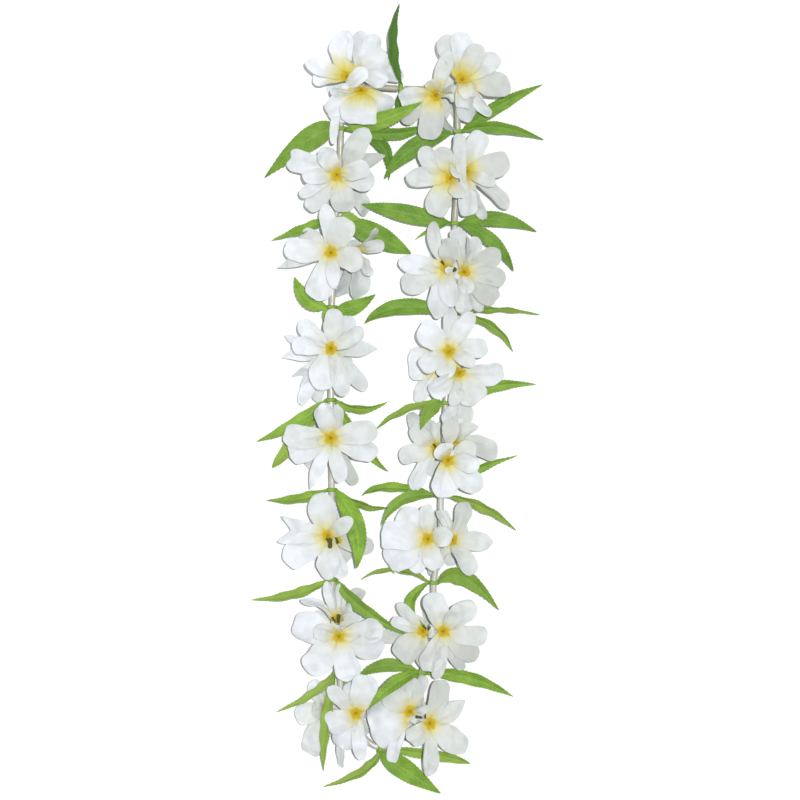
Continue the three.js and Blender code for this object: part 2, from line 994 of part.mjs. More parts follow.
// The room round each spacer tube that starts or ends near a place
function tubeRooms(place) {
  return tubeStretches()
    .filter(([from, to]) => Math.min(apart(from, place), apart(to, place)) < NEIGHBOUR_REACH)
    .map(([from, to]) =>
      barAlong(from - TUBE_END_ROOM, to + TUBE_END_ROOM, TUBE_RADIUS + CLEARANCE, TUBE_SIDES),
    );
}

// The room round each whorl hub near a place
function hubRooms(place) {
  const half = HUB_LENGTH / 2 + CLEARANCE;
  return Object.values(WHORLS)
    .map(({ at }) => places[at])
    .filter((hub) => apart(hub, place) < NEIGHBOUR_REACH)
    .map((hub) => barAlong(hub - half, hub + half, HUB_RADIUS + CLEARANCE, TUBE_SIDES));
}

// A solid with rooms cut out of it, as the one body that is left
function cleared(solid, rooms) {
  const cut = rooms.reduce((rest, room) => rest.subtract(room), solid);
  return largestBody(cut.simplify(SMALLEST_EDGE));
}

// A bloom: its core, and each floret's stem, star and petals, with the back layer that it rests on
function bloomSolid({ at, florets }) {
  const place = places[at];
  const start = place - CORE_LENGTH / 2;
  const end = place + CORE_LENGTH / 2;
  const foot = route.getPointAt(place / routeLength);
  let bloom = barAlong(start, end, CORE_RADIUS, TUBE_SIDES).add(backLayer(foot));
  for (const floret of florets) {
    const throat = new THREE.Vector3(...floret.throat);
    const faces = new THREE.Vector3(...floret.faces).normalize();
    bloom = bloom.add(stemAndStar(foot, throat, faces));
    for (const [x, y, rise, width, roll] of floret.petals) {
      const reach = new THREE.Vector3(x, y, rise);
      const root = throat.clone().addScaledVector(acrossAxis(reach, faces), THROAT_RING);
      bloom = bloom.add(petal(root, throat.clone().add(reach), faces, width, roll));
    }
  }
  return cleared(bloom, [bore(start, end), ...tubeRooms(place), ...hubRooms(place)]);
}

// The layer of petals at the back of a bloom, lying flat on the surface, with its short stem
function backLayer(foot) {
  const outline = [];
  for (let i = 0; i < BACK_PETALS; i += 1) {
    const middle = (2 * Math.PI * (i + BACK_TURN)) / BACK_PETALS;
    const halfPetal = Math.PI / BACK_PETALS;
    outline.push([BACK_NOTCH, middle - halfPetal]);
    outline.push([BACK_REACH, middle - halfPetal / 2]);
    outline.push([BACK_REACH, middle + halfPetal / 2]);
  }
  const corners = outline.map(
    ([reach, angle]) => new THREE.Vector2(reach * Math.cos(angle), reach * Math.sin(angle)),
  );
  const layer = new THREE.ExtrudeGeometry(new THREE.Shape(corners), {
    depth: BACK_THICKNESS,
    bevelEnabled: false,
  });
  layer.translate(foot.x, foot.y, 0);
  const axis = new THREE.Vector3(0, 0, -1);
  const root = new THREE.Vector3(foot.x, foot.y, BACK_THICKNESS / 2);
  const stemRings = [
    { centre: foot, radius: STEM_RADIUS, axis },
    { centre: root, radius: BACK_STEM_RADIUS, axis },
  ];
  return solidOf(layer).add(solidOf(ringsGeometry(stemRings, STEM_SIDES)));
}

// A whorl: its hub round the tube, with the leaves that grow from the hub
function whorlSolid({ at, leaves }) {
  const place = places[at];
  const half = HUB_LENGTH / 2;
  const hub = route.getPointAt(place / routeLength);
  const tangent = route.getTangentAt(place / routeLength);
  let whorl = barAlong(place - half, place + half, HUB_RADIUS, TUBE_SIDES);
  for (const [middle, tip, width, roll] of leaves) {
    const reach = new THREE.Vector3(...middle);
    const root = hub.clone().addScaledVector(acrossAxis(reach, tangent), HUB_WALL_MIDDLE);
    const tipPoint = hub.clone().add(new THREE.Vector3(...tip));
    whorl = whorl.add(leaf(root, hub.clone().add(reach), tipPoint, width, roll));
  }
  const start = place - half - BORE_OVERRUN;
  const end = place + half + BORE_OVERRUN;
  const hole = barAlong(start, end, TUBE_RADIUS + CLEARANCE, TUBE_SIDES);
  return cleared(whorl, [hole, ...tubeRooms(place)]);
}

const lei = new THREE.Group();
for (const [name, bloom] of Object.entries(BLOOMS))
  lei.add(meshOf(`bloom_${name}`, bloomSolid(bloom), FABRIC_WHITE));
for (const [name, whorl] of Object.entries(WHORLS))
  lei.add(meshOf(`leaf_whorl_${name}`, whorlSolid(whorl), FABRIC_GREEN));
tubeStretches().forEach(([from, to], i) =>
  lei.add(meshOf(`spacer_tube_${i + 1}`, tubeSolid(from, to), CLEAR_PLASTIC)),
);
lei.add(meshOf("string", stringSolid(), COTTON));

export default lei;
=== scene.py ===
import math
import random

import bpy
import numpy as np
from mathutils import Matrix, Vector


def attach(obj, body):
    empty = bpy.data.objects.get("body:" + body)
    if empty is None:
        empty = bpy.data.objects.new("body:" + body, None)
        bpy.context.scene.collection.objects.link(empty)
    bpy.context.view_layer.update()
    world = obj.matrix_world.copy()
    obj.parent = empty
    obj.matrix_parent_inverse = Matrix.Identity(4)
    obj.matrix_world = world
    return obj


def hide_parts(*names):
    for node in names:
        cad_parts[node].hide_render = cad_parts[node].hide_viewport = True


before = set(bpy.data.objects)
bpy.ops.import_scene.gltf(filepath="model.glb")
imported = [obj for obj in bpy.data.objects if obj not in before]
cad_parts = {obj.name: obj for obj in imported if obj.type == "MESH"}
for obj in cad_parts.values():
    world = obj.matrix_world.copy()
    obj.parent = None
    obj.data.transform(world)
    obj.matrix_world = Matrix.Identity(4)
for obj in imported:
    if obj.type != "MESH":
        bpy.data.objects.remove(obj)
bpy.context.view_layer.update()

# Lengths below are in millimetres, and a mesh is brought to metres as it is made.
MM = 0.001

# String, tubes, cores and hubs
STRING_HEIGHT = 14
STRING_RADIUS = 0.5
BORE_RADIUS = 1.25
TUBE_RADIUS = 1.9
CORE_RADIUS = 3.1
CORE_LENGTH = 9
END_GAP = 0.35
HUB_RADIUS = 3.4
HUB_LENGTH = 2.4
HUB_BORE = 2.4
HUB_WALL_MIDDLE = 2.9
KNOT_ROOM = 3.8

# Petals
THROAT_RING = 2.1
PETAL_CLOTH = 0.34
PETAL_WIDEST = 0.66
PETAL_ROOT = (0.36, 0.52)
PETAL_SHOULDER = 0.85
PETAL_ARCH = 0.11
PETAL_CUP = 0.16
PETAL_LAP = 0.35
PETAL_LAYERS = 3
PETAL_ROWS = 24
PETAL_COLUMNS = 14

# Back layer of petals
BACK_PETALS = 5
BACK_TURN = 0.25
BACK_ROOT = 1.5
BACK_REACH = 18.4
BACK_WIDTH = 12.5
BACK_REST = 0.4
BACK_LAP = 0.5
BACK_LAYERS = 2
BACK_FLUSH = 4

# Leaves
LEAF_CLOTH = 0.4
LEAF_SKEW = 0.82
LEAF_FULLNESS = 0.84
LEAF_REACH = 1.02
LEAF_STALK = 1.1
STALK_FADE = (0.1, 0.5)
LEAF_COLUMNS = 12
LEAST_TEETH = 4
TOOTH_PITCH = 2.3
VEIN_PITCH = 3.6
VEIN_SLANT = 1.25
VEIN_INSET = (0.3, 1.2)
VEIN_START = (0, 0.15)

# The paint's reach where cloth has no yellow, the draw of what has none, and how high cloth stays
BARE_REACH = 3
PLAIN_DRAW = 0.5
FLOOR_CLEAR = 0.35

# How finely things are made, and the angle in degrees from which an edge looks sharp
ROUTE_STEPS = 60
SLEEVE_STEP = 2.5
RIM_STEPS = 4
SLEEVE_SIDES = 24
HUB_SIDES = 28
STEM_SIDES = 20
PIN_SIDES = 12
ROWS_A_TOOTH = 3
SHARP_EDGE = 70
NEARLY_ALONG = 0.95
TINY = 1e-9

# Folds and waves of a petal: a pair is a range to draw from, or where a change begins and ends
WIDEST_DRIFT = 0.05
POINT_SWELL = 1.25
POINT_FULLNESS = 0.85
SQUARE_POWER = 5
NOTCH_POWER = 9
ROUND_POWER = (2.0, 3.0)
RIPPLE_WAVES = (1.0, 2.4)
RIPPLE_REACH = (0.02, 0.07)
RIPPLE_FADE = (0.15, 0.5)
END_WAVE = (0.1, 0.6)
END_PITCH = (7, 14)
END_FADE = (0.65, 1)
CRUMPLE_WAVES = 5
CRUMPLE_PITCH = (6, 15)
CRUMPLE_HEIGHT = 0.3
CRUMPLE_FADE = (0, 0.35)
ROOT_FADE = (0, 0.35)
CREASES = ((0, 0.7), (-0.5, 0.5), (0.5, 0.5))
CREASE_WIDTH = 0.16
CREASE_DRIFT = 0.15
CREASE_DEPTH = (0.2, 1.2)
CREASE_RUN = 0.7
CREASE_SIGNS = (-1, 1, 1)
EDGE_WAVES = (0.8, 1.8)
EDGE_LIFT = (0.2, 0.9)
EDGE_FADE = (0.15, 0.6)
TIP_LIFT = (-1.6, 1.2)
TIP_FADE = (0.6, 1)
SIDE_BEND = 0.035
CUP_DEPTH = 0.4
CUP_TIP = 0.09
CUP_SQUEEZE = 0.18
CUP_FADE = (0.2, 0.8)
DOME_SIDES = 0.65
DOME_TIP = 0.12
DOME_FADE = (0.1, 0.6)
END_TURN = (0.5, 1)
FOLD_GAP = 1.0
FOLD_LINE = 0.45
FOLD_REACH = 1.7
FOLD_FADE = (0.1, 0.35)
FOLD_EASE = 1e-6
NOTCH_DEPTH = 0.3
NOTCH_FADE = (0.4, 1)
DRAW_TONE = 1.1
# Painted shade on petals that point to the right, by how far they point that way
RIGHT_SHADE = 0.35

# Stems: a profile is shares of the length, each with a radius
STEM_START = 2
STEM_DROP = 0.4
STEM_TURN = (0.2, 0.95)
STEM_PROFILE = [(0, 1.4), (0.3, 1.35), (0.6, 1.5), (0.8, 2.0), (0.92, 2.6), (1, 3.0)]
BACK_STEM = [(0.15, 1.4), (0.5, 1.4), (0.8, 1.8), (1, 3.0)]

# Hearts
STAR_LOBES = 5
STAR_SPOKES = 60
STAR_RINGS = 8
STAR_REACH = 4.4
STAR_NOTCH = 3.0
STAR_DIP = 0.3
STAR_BROW = 1.4
STAR_BROW_CURVE = 0.8
STAR_RUFFLE = 0.12
STAR_RUFFLES = 3
STAR_LOBE = (0.8, 1.15)
STAR_POINT = 1.5
STAR_CLOTH = 0.2
HEART_SIDE = (1.0, 0.2, 0.1)
STAMENS = 3
STAMEN_PAINT = (0.3, 0, 1)
STAMEN_SPREAD = (0.4, 1.3)
STAMEN_REACH = (1.0, 1.7)
STAMEN_RADIUS = 0.3
STAMEN_FOOT = 0.3
PEG_PAINT = (0, 0, 0)
PIN_PROFILE = [(0, 0.8), (0.5, 0.7), (0.72, 0.85), (0.86, 1.0), (0.95, 0.8), (1, 0.35)]

# Folds and teeth of a leaf
TOOTH_FORM = (0, 1, 0.5)
TOOTH_DEPTH = 0.45
TOOTH_FADE = 0.12
LEAF_FOLD = 0.22
RIB_DEPTH = 0.45
RIB_WIDTH = 0.5
VEIN_HEIGHT = 0.13
LEAF_WAVE = 0.6
LEAF_WAVE_PITCH = 15
LEAF_WAVE_EDGE = 1.5
LEAF_SWAY = 0.02

# String and its knot
STRING_STEP = 1
STRING_SIDES = 8
PLY_PITCH = 6
PLY_GROOVE = 0.35
KNOT_STEPS = 60
KNOT_SIZE = 0.28
KNOT_CORD = 0.42

# Colours, linear
COOL_WHITE = (0.735, 0.772, 0.82, 1)
SOFT_WHITE = (0.66, 0.695, 0.715, 1)
# Whites that a petal's tone turns to, greenish, then grey, then dull: painted shade
GREEN_WHITE = (0.61, 0.65, 0.63, 1)
GREY_WHITE = (0.55, 0.575, 0.56, 1)
DULL_SHADED_WHITE = (0.48, 0.498, 0.47, 1)
# Painted shade near the throat: a greyer cream
THROAT_SHADED_WHITE = (0.60, 0.61, 0.52, 1)
PALE_YELLOW = (0.63, 0.59, 0.27, 1)
WARM_YELLOW = (0.60, 0.495, 0.075, 1)
GOLD = (0.49, 0.35, 0.014, 1)
BROWN_GOLD = (0.31, 0.19, 0.01, 1)
DARK_OLIVE = (0.05, 0.055, 0.012, 1)
OLIVE = (0.13, 0.14, 0.03, 1)
MID_GREEN = (0.165, 0.312, 0.023, 1)
LIGHT_GREEN = (0.245, 0.416, 0.037, 1)
DEEP_GREEN = (0.055, 0.165, 0.018, 1)
PALE_GREEN = (0.30, 0.42, 0.075, 1)
VEIN_GREEN = (0.30, 0.45, 0.09, 1)
BACK_GREEN = (0.22, 0.36, 0.11, 1)
TUBE_CREAM = (0.60, 0.59, 0.46, 1)
TUBE_GREY = (0.68, 0.69, 0.65, 1)
TUBE_YELLOWED = (0.44, 0.45, 0.32, 1)
THREAD_CREAM = (0.78, 0.74, 0.62, 1)
THREAD_SHADE = (0.6, 0.56, 0.45, 1)
FLOOR_WHITE = (0.95, 0.95, 0.95, 1)

# Threads, patches of dye, and streaks across and along a blade
PETAL_THREAD = 0.32
LEAF_THREAD = 0.3
PETAL_PATCH = 7.0
LEAF_PATCH = 9.0
TUBE_PATCH = 9.0
PETAL_STREAK = (2.0, 16.0)
HEART_STREAK = (0.5, 0.8)
LEAF_STREAK = (1.1, 9.0)
TUBE_STREAK = (0.7, 12.0)
THREAD_STREAK = (0.15, 2.0)
PATCH_NOISE = {"Detail": 2.0, "Roughness": 0.5}
STREAK_NOISE = {"Detail": 3.0, "Roughness": 0.6}
PATCH_SPACING = 60.0
STREAK_SPACING = 90.0
PATCH_EDGE = (0.35, 0.65)
STREAK_EDGE = (0.3, 0.7)

# Yellow on a petal: how far out each shade begins and is full, and what streaks and the back do to it
BLUSH = [((1.15, 0.38), PALE_YELLOW), ((0.63, 0.18), WARM_YELLOW), ((0.26, 0.08), GOLD)]
BLUSH_STREAK = 0.16
BLUSH_BACK = 0.35

# Where other shades begin and are full, and how strong they are at each end
# Painted shade: the tone at which petals begin to turn to the dull shaded white, and where it is full
SHADED_TONE = (1.0, 2.0)
# Painted shade near the throat: millimetres out from the root where it begins and is full, and how strong
THROAT_SHADE = (17.0, 3.0, 0.0, 0.6)
STAR_MIDDLE = (0.0, 0.4)
STAR_TIPS = (0.75, 1.15)
STAR_STREAK = 0.4
VEIN_LINE = (0.6, 1.0, 0.0, 0.3)
MIDRIB_LINE = (0.7, 0.2, 0.0, 0.45)
DARKER_LEAF = (0.6, 1.0, 0.0, 0.4)
LEAF_STREAK_SHADE = 0.35
DEEP_SHARE = -0.9
PALE_SHARE = 0.8
LEAF_BACK = 0.6
OLDER_TUBE = (0.32, 0.44, 0.0, 0.7)

# Roughness from the smoothest streak to the roughest
PETAL_ROUGHNESS = (0.72, 0.88)
HEART_ROUGHNESS = (0.5, 0.75)
LEAF_ROUGHNESS = (0.45, 0.62)
TUBE_ROUGHNESS = (0.22, 0.42)

# Depth of fine relief, and how much higher streaks stand than threads
PETAL_RELIEF = 0.07
HEART_RELIEF = 0.15
LEAF_RELIEF = 0.08
TUBE_RELIEF = 0.04
THREAD_RELIEF = 0.05
PETAL_STREAK_RISE = 1.4
LEAF_STREAK_RISE = 1.2

# What is the same all over a finish
PETAL_FINISH = {
    "Sheen Weight": 0.12,
    "Specular IOR Level": 0.25,
    "Subsurface Weight": 0.3,
    "Subsurface Radius": (1.0, 0.95, 0.85),
    "Subsurface Scale": 1.5 * MM,
}
HEART_FINISH = {"Specular IOR Level": 0.2}
LEAF_FINISH = {
    "Specular IOR Level": 0.35,
    "Subsurface Weight": 0.12,
    "Subsurface Radius": (0.4, 0.8, 0.2),
    "Subsurface Scale": 1.0 * MM,
}
TUBE_FINISH = {"IOR": 1.45, "Transmission Weight": 0.3}
THREAD_FINISH = {"Roughness": 0.9}
FLOOR_FINISH = {"Base Color": FLOOR_WHITE, "Roughness": 0.9, "Specular IOR Level": 0.1}

# Stage, in metres
FLOOR_REACH = 6
ROOM_COLOUR = (0.97, 0.97, 1.0, 1)
ROOM_STRENGTH = 0.30
KEY_PLACE = (0.32, 0.2, 6)
KEY_SIZE = 0.1
KEY_POWER = 318
KEY_COLOUR = (1.0, 1.0, 1.0)
FILL_PLACE = (-1.3, 0.7, 2.6)
FILL_SIZE = 1.5
FILL_POWER = 15
FILL_COLOUR = (1.0, 1.0, 1.0)
SENSOR = 36
CAMERA_HEIGHT = 3
LOOK_HEIGHT = 0.02
VIEW_SPAN = 0.5
VIEW_MIDDLE = (0.00125, -0.000625)

# The string's route, seen from above, from the top of the loop down the left side and up the right
ROUTE = [
    (1.9, 194.4), (-26.9, 193.1), (-35.6, 180.6), (-35.6, 169.4), (-36.9, 138.1), (-38.8, 113.1),
    (-40, 90), (-41.3, 57.5), (-41.9, 31.3), (-41.9, -0.6), (-41.9, -24.4), (-41.3, -56.9),
    (-41.9, -86.9), (-41.3, -113.1), (-38.8, -143.1), (-36.9, -170), (-31.3, -197.5), (-11.3, -218.1),
    (10.6, -198.8), (15, -171.3), (21.9, -145.6), (22.5, -115), (26.3, -88.1), (26.9, -60.6),
    (28.8, -31.9), (30, -2.5), (33.1, 26.9), (35.6, 53.8), (36.3, 81.9), (35.6, 110),
    (37.5, 136.9), (37.5, 167.5), (33.8, 190),
]

UP = (0, 0, 1)

# Blooms: the route point that each sits at, and its florets.
# A floret is its throat (x, y, height), the way it faces, how far yellow spreads, and its petals.
# A petal is its tip's offset from the throat (x, y, up), its width, its roll in degrees and its form.
# A floret of one or two petals is a loose one that hangs out or curls over a heart.
BLOOMS = {
    "left_1": (1, [
        ((-31.9, 201.3, 21), (-0.3, 0.3, 1), 15, [
            (-25.6, 8.8, 3, 11), (-21.3, -1.5, -3, 10.5), (0.5, 29, 0, 22, 0, "fold"),
        ]),
        ((-23.1, 193.1, 20), (0, -0.5, 1), 13, [
            (-18.8, 0, 9, 9, -30), (-20.5, -15.5, -2, 19), (-1.5, -21.5, 3, 23, 0, "square"),
            (18.5, -13, -3, 17),
        ]),
        ((-24.5, 204.4, 14), (0.3, 0.1, 1), 6, [
            (12, 23.1, 1, 12, 0, "dome"), (16.5, 10, 8, 14.5, 0, "dome"), (17, -4.5, 8, 13, 0, "dome"),
            (28, -2, -2, 11), (1.3, 26.5, -5, 12),
        ]),
        ((-37, 187, 13), UP, 6, [
            (-3.8, -27, 7, 5.5),
        ]),
        ((-32.5, 194.5, 21), UP, 2, [
            (12.5, 11, 9, 10),
        ]),
    ]),
    "left_2": (4, [
        ((-38.1, 140, 23), UP, 10, [
            (-21.3, -1.9, 8, 10), (-23.1, -13.1, 3, 8), (-18.1, -21.9, -2, 12.5), (5, -23.1, -2, 15),
            (23.1, -5.6, 1, 13.8), (20.6, 4, 11, 12), (-9.4, 16.9, 10, 12.5),
            (-29.5, 10.6, -8, 14.5, 0, "square"), (6.5, -2, 6, 4.5, 40),
        ]),
        ((-33.1, 141.9, 10), (0.3, 0.3, 1), 6, [
            (13.1, 27.5, 9, 13.8), (25, 11, 3, 12, 0, "point"), (13.1, -26.3, -7, 11),
        ]),
    ]),
    "left_3": (6, [
        ((-41.9, 91.3, 23), UP, 8, [
            (-3.8, 30, 5, 10), (-28.8, 3.1, 1, 15), (-9.8, -29, 1, 17), (10, 21.3, 8, 16),
            (19.4, -7.5, 7, 15), (1.9, -21.9, 9, 9), (-33.1, -8.8, -8, 9, 0, "point"), (-19, 13, -6, 12),
        ]),
        ((-25.6, 93.1, 13), (0.7, 0, 0.7), 9, [
            (11.3, 13.8, 8, 8, 20), (16.9, 4.4, 8, 9), (6.9, -16.3, 6, 9), (-1.5, -30.5, -2, 17),
            (-12.5, -28.5, -5, 15),
        ]),
    ]),
    "left_4": (8, [
        ((-41.9, 31.3, 24), UP, 6, [
            (2.5, 25, 2, 12), (-19.4, 16.9, 3, 11.3), (-24, 2, 2, 12), (-6.9, -25.6, 0, 17),
            (8.8, -29.4, 0, 11), (20.6, 11.9, 4, 12.5, 0, "cup"),
        ]),
        ((-41.9, 29.5, 11), UP, 6, [
            (-32, 3.5, -1, 15, 0, "notch"), (-23.1, -19.4, 1, 9, 0, "notch"),
            (-19.4, -32.5, -2, 9), (-9.4, -31.3, 0, 9, 20), (29.4, 1.9, 3, 12.5, 0, "point"),
            (21.9, -23.8, -2, 10), (13.1, 21.9, 5, 12),
        ]),
    ]),
    "left_5": (10, [
        ((-41.9, -24.4, 23), UP, 9, [
            (-5.6, 22.5, 8, 15.6, 0, "cup"), (28.8, 5, 2, 15), (28.1, -10.6, -4, 13.8),
            (6.9, -27.5, 0, 10), (-13.1, -31.9, -3, 12, 0, "point"), (-25, -11.5, -3, 14, 0, "square"),
            (-29.4, 1.9, 0, 15),
        ]),
        ((-39.4, -25.6, 11), UP, 6, [
            (12.5, -28.1, -2, 8.8), (1.3, 21.9, 3, 8), (-19, -15, -3, 13),
        ]),
    ]),
    "left_6": (12, [
        ((-43.8, -85.6, 22), (-0.2, 0, 1), 10, [
            (-5, 26.9, 0, 17.5), (-31.5, 5, -2, 17, 0, "notch"), (-26.3, -16.3, -1, 17.5),
            (0.5, -27, 1, 14), (9.4, -26, -2, 11), (15.7, 11.5, 13, 10),
        ]),
        ((-39.4, -88.1, 10), (0.3, 0, 1), 6, [
            (23.8, -5, 2, 12.5),
        ]),
    ]),
    "left_7": (14, [
        ((-36.9, -148.1, 23), (0, -0.2, 1), 9, [
            (-19.4, -22.5, 0, 18.8), (8.1, -27.5, 1, 16), (27.5, -8.8, -4, 15), (27.5, 5, 1, 16),
            (-29, 7, 0, 20, 0, "dome"), (-15.6, 5, 8, 11),
        ]),
        ((-38.1, -138.1, 17), (0, 0.6, 1), 9, [
            (-6.3, 23.8, 4, 10, 0, "fold"), (1.9, 23.1, 1, 8, 30), (-21.9, 12.5, 8, 9, 30),
            (10, 7.5, 15, 9), (16.3, 18.8, -6, 10),
        ]),
        ((-24.5, -145.6, 10), UP, 6, [
            (28.8, -3.8, -2, 9),
        ]),
    ]),
    "left_8": (16, [
        ((-26.3, -196.3, 23), UP, 8, [
            (-16.3, 16.9, 4, 10), (6.9, 24.4, 5, 17), (-16.8, -6.8, 6, 15, 0, "dome"),
            (-9, -22, 0, 15, 0, "dome"), (3.8, -29.4, 0, 9.4), (-4.4, 19.4, -3, 9), (-10, -35, -13, 8, 40),
        ]),
        ((-44.3, -194.1, 11), (-0.5, 0, 1), 6, [
            (-9.4, 17.5, 4, 11), (-19.4, -5.6, 1, 14), (-10, -28.8, -3, 13.8, 0, "square"),
            (10, -9.5, 3, 12), (-10, -1, 6, 11),
        ]),
    ]),
    "right_8": (18, [
        ((20, -202.5, 24), UP, 8, [
            (8.1, 26.9, -1, 12.5), (21.7, 14.5, 1, 17, 0, "point"), (22.5, -16.9, 0, 16),
            (-1.3, -33, -2, 13.8, 0, "fold"), (-12.5, -10.5, 7, 13, 0, "dome"),
        ]),
        ((7.5, -195.6, 20), (-0.3, 0.3, 1), 9, [
            (-15.6, 12.5, 4, 15), (-26, -5.5, 2, 34, 0, "dome"),
            (-11.9, -31.9, -4, 9), (0, 21.3, 0, 14), (8.8, 22.5, -5, 8, 40), (11, 3.5, 12, 6, 50),
        ]),
    ]),
    "right_7": (20, [
        ((28.1, -145, 23), (0.2, 0, 1), 8, [
            (-8.1, 23.8, 4, 15), (20, 18.1, 0, 13.8), (11.9, 16.6, 8, 10), (27.5, -3.1, 0, 13),
            (21.9, -16.9, -3, 14), (-4.4, -29.4, 1, 8.8), (12.5, -24.4, -6, 8, 30), (-11.2, -24.4, 3, 15),
        ]),
        ((15.6, -145, 20), (-0.4, 0, 1), 8, [
            (-16.3, 16.9, 1, 8, 40), (-20, 6.9, 5, 8, 20), (-14.4, -18.1, 2, 18), (1.3, -23.1, 3, 10),
        ]),
    ]),
    "right_6": (22, [
        ((18.8, -87.5, 22), (-0.2, 0, 1), 9, [
            (-17.5, 18.1, 0, 16), (-1.3, 21.9, 5, 9, 15), (-28.8, 3.5, 0, 18.5, 0, "square"),
            (-25.5, -15, -4.5, 18.5, 0, "square"), (-9, -20.5, -1, 14), (5.6, -18.1, 8, 12.5),
            (15, 2.5, 12, 12.5),
        ]),
        ((33.8, -88.1, 16), (0.5, 0, 1), 7, [
            (-7.5, 18.8, 4, 8), (8.1, 23.8, 3, 11.3), (25, -1.9, 2, 12.5), (12.5, -21.9, 7, 12.5),
            (-12.5, -23.1, -8, 8, 60),
        ]),
    ]),
    "right_5": (24, [
        ((33.8, -26.3, 15), (0.3, 0.5, 0.8), 9, [
            (8.1, 24.4, 1, 13.8), (-1.3, 22.5, 4, 14), (14.4, 10, 9, 9), (28.1, -8.8, -3, 16),
        ]),
        ((23.8, -30.6, 17), (-0.5, 0, 1), 8, [
            (-16.9, 21.9, -4, 10), (-15, 13.1, 6, 11), (-23.1, -6.3, 1, 12.5), (-14.4, -26.3, 2, 10.6),
            (-5, 17, 1, 12),
        ]),
        ((31.3, -38.1, 23), (0.2, -0.2, 1), 9, [
            (-3.8, -23.8, 1, 16.5), (20, -1.9, 6, 15, 0, "cup"), (20, -18.8, 0, 15), (-6, 9, 9, 12),
        ]),
        ((33.5, -34.5, 24), UP, 1, [
            (15, 4, 4, 13),
        ]),
        ((31.8, -29.5, 20), UP, 1, [
            (1.2, 17, 4, 11),
        ]),
    ]),
    "right_4": (26, [
        ((31.9, 29.4, 24), (0, 0.1, 1), 9, [
            (-18.1, 16.9, 2, 16), (1.9, 27.5, -2, 9), (15, 24.4, 1, 11.3), (23.8, 2.5, 4, 12.5),
            (15.3, -7.8, 10, 9), (-18.1, -10, 9, 12.5), (-3, -16, -3, 12),
        ]),
        ((38.1, 16.3, 19), (0.3, -0.4, 1), 8, [
            (28.1, 0.6, -2, 15), (11.9, -18.8, 2, 18), (-3.8, -20, 5, 9), (-18.1, -12.5, 2, 14),
            (-7.5, 10, 1, 10),
        ]),
        ((26.3, 22.3, 10), (-0.4, 0, 1), 12, [
            (-19.6, -0.8, 1, 21), (-13.8, -24.8, -4, 10),
        ]),
    ]),
    "right_3": (28, [
        ((30, 81.9, 22), (-0.3, 0, 1), 9, [
            (-8.8, 28.8, -1, 9.4), (-29.4, 3.8, -1, 12.5), (-27.5, -11.9, -3, 15), (-5.6, -31.3, -1, 14),
            (3.1, -23.8, 7, 12), (4.4, 18.8, 14, 13),
        ]),
        ((41.3, 79.4, 20), (0.3, 0, 1), 9, [
            (-5.6, 27.5, -3, 11.3), (7.5, 21.8, 5, 9.5), (22.5, 12.5, 2, 13.8), (25.6, -5, 1, 12.5),
            (19.4, -18.8, -1, 15), (-1.3, -26.3, -2, 12), (10, -25, -3, 8.8),
            (-2.5, -25.5, 9, 7.5, 20), (0.5, 21.5, 11, 6.5, 55),
        ]),
        ((37.5, 77.5, 21.5), UP, 1, [
            (8, -11.5, 6, 9), (-8, 3.5, 6, 5.5),
        ]),
    ]),
    "right_2": (30, [
        ((33.1, 138.1, 22), (-0.3, 0, 1), 14, [
            (-19, 18.4, 2, 13), (-5.6, 19.4, 8, 12.5), (-28.1, -0.6, 1, 12.5), (-10.4, -24, 2, 16),
            (6.3, -12.5, 12, 8.8),
        ]),
        ((42.5, 141.9, 20), (0.3, 0, 1), 12, [
            (-5, 23.1, 3, 9.5), (8.8, 25.6, 2, 13.8), (26.9, 7.5, 2, 16), (18.1, -8.1, 9, 8),
            (26.9, -22.5, -5, 9), (12.5, -29.4, -4, 8, 40), (1.3, -27.5, 1, 12.5),
        ]),
        ((40.8, 133.5, 24.5), UP, 1, [
            (-2.3, 32, 2, 8),
        ]),
        ((41, 147, 22), UP, 1, [
            (-7.7, -8.2, 7, 10),
        ]),
    ]),
    "right_1": (32, [
        ((40, 199.4, 23), (0.2, 0.2, 1), 14, [
            (-11.9, 27.5, 0, 15), (-1.9, 30, 2, 15), (11.3, 21.9, 6, 13), (23.1, 14.4, 4, 13),
            (30, -6.3, 0, 16), (17.5, -22.5, -3, 8, 40), (5, -26.3, -2, 12.5, 0, "dome"),
            (1.9, -17.5, 7, 12, 0, "dome"), (4.5, -9, 12, 12, 0, "dome"),
        ]),
        ((23.8, 190, 19), (-0.3, -0.4, 1), 13, [
            (-23.1, -1.9, 2, 15), (-3.1, 9.1, 9, 9), (-21.3, -16.9, -4, 9), (-5, -28.1, 1, 16),
            (11.9, -23.8, -4, 8, 40), (10, 5, 13, 8, 65), (8.8, 27, 10, 10),
        ]),
    ]),
}

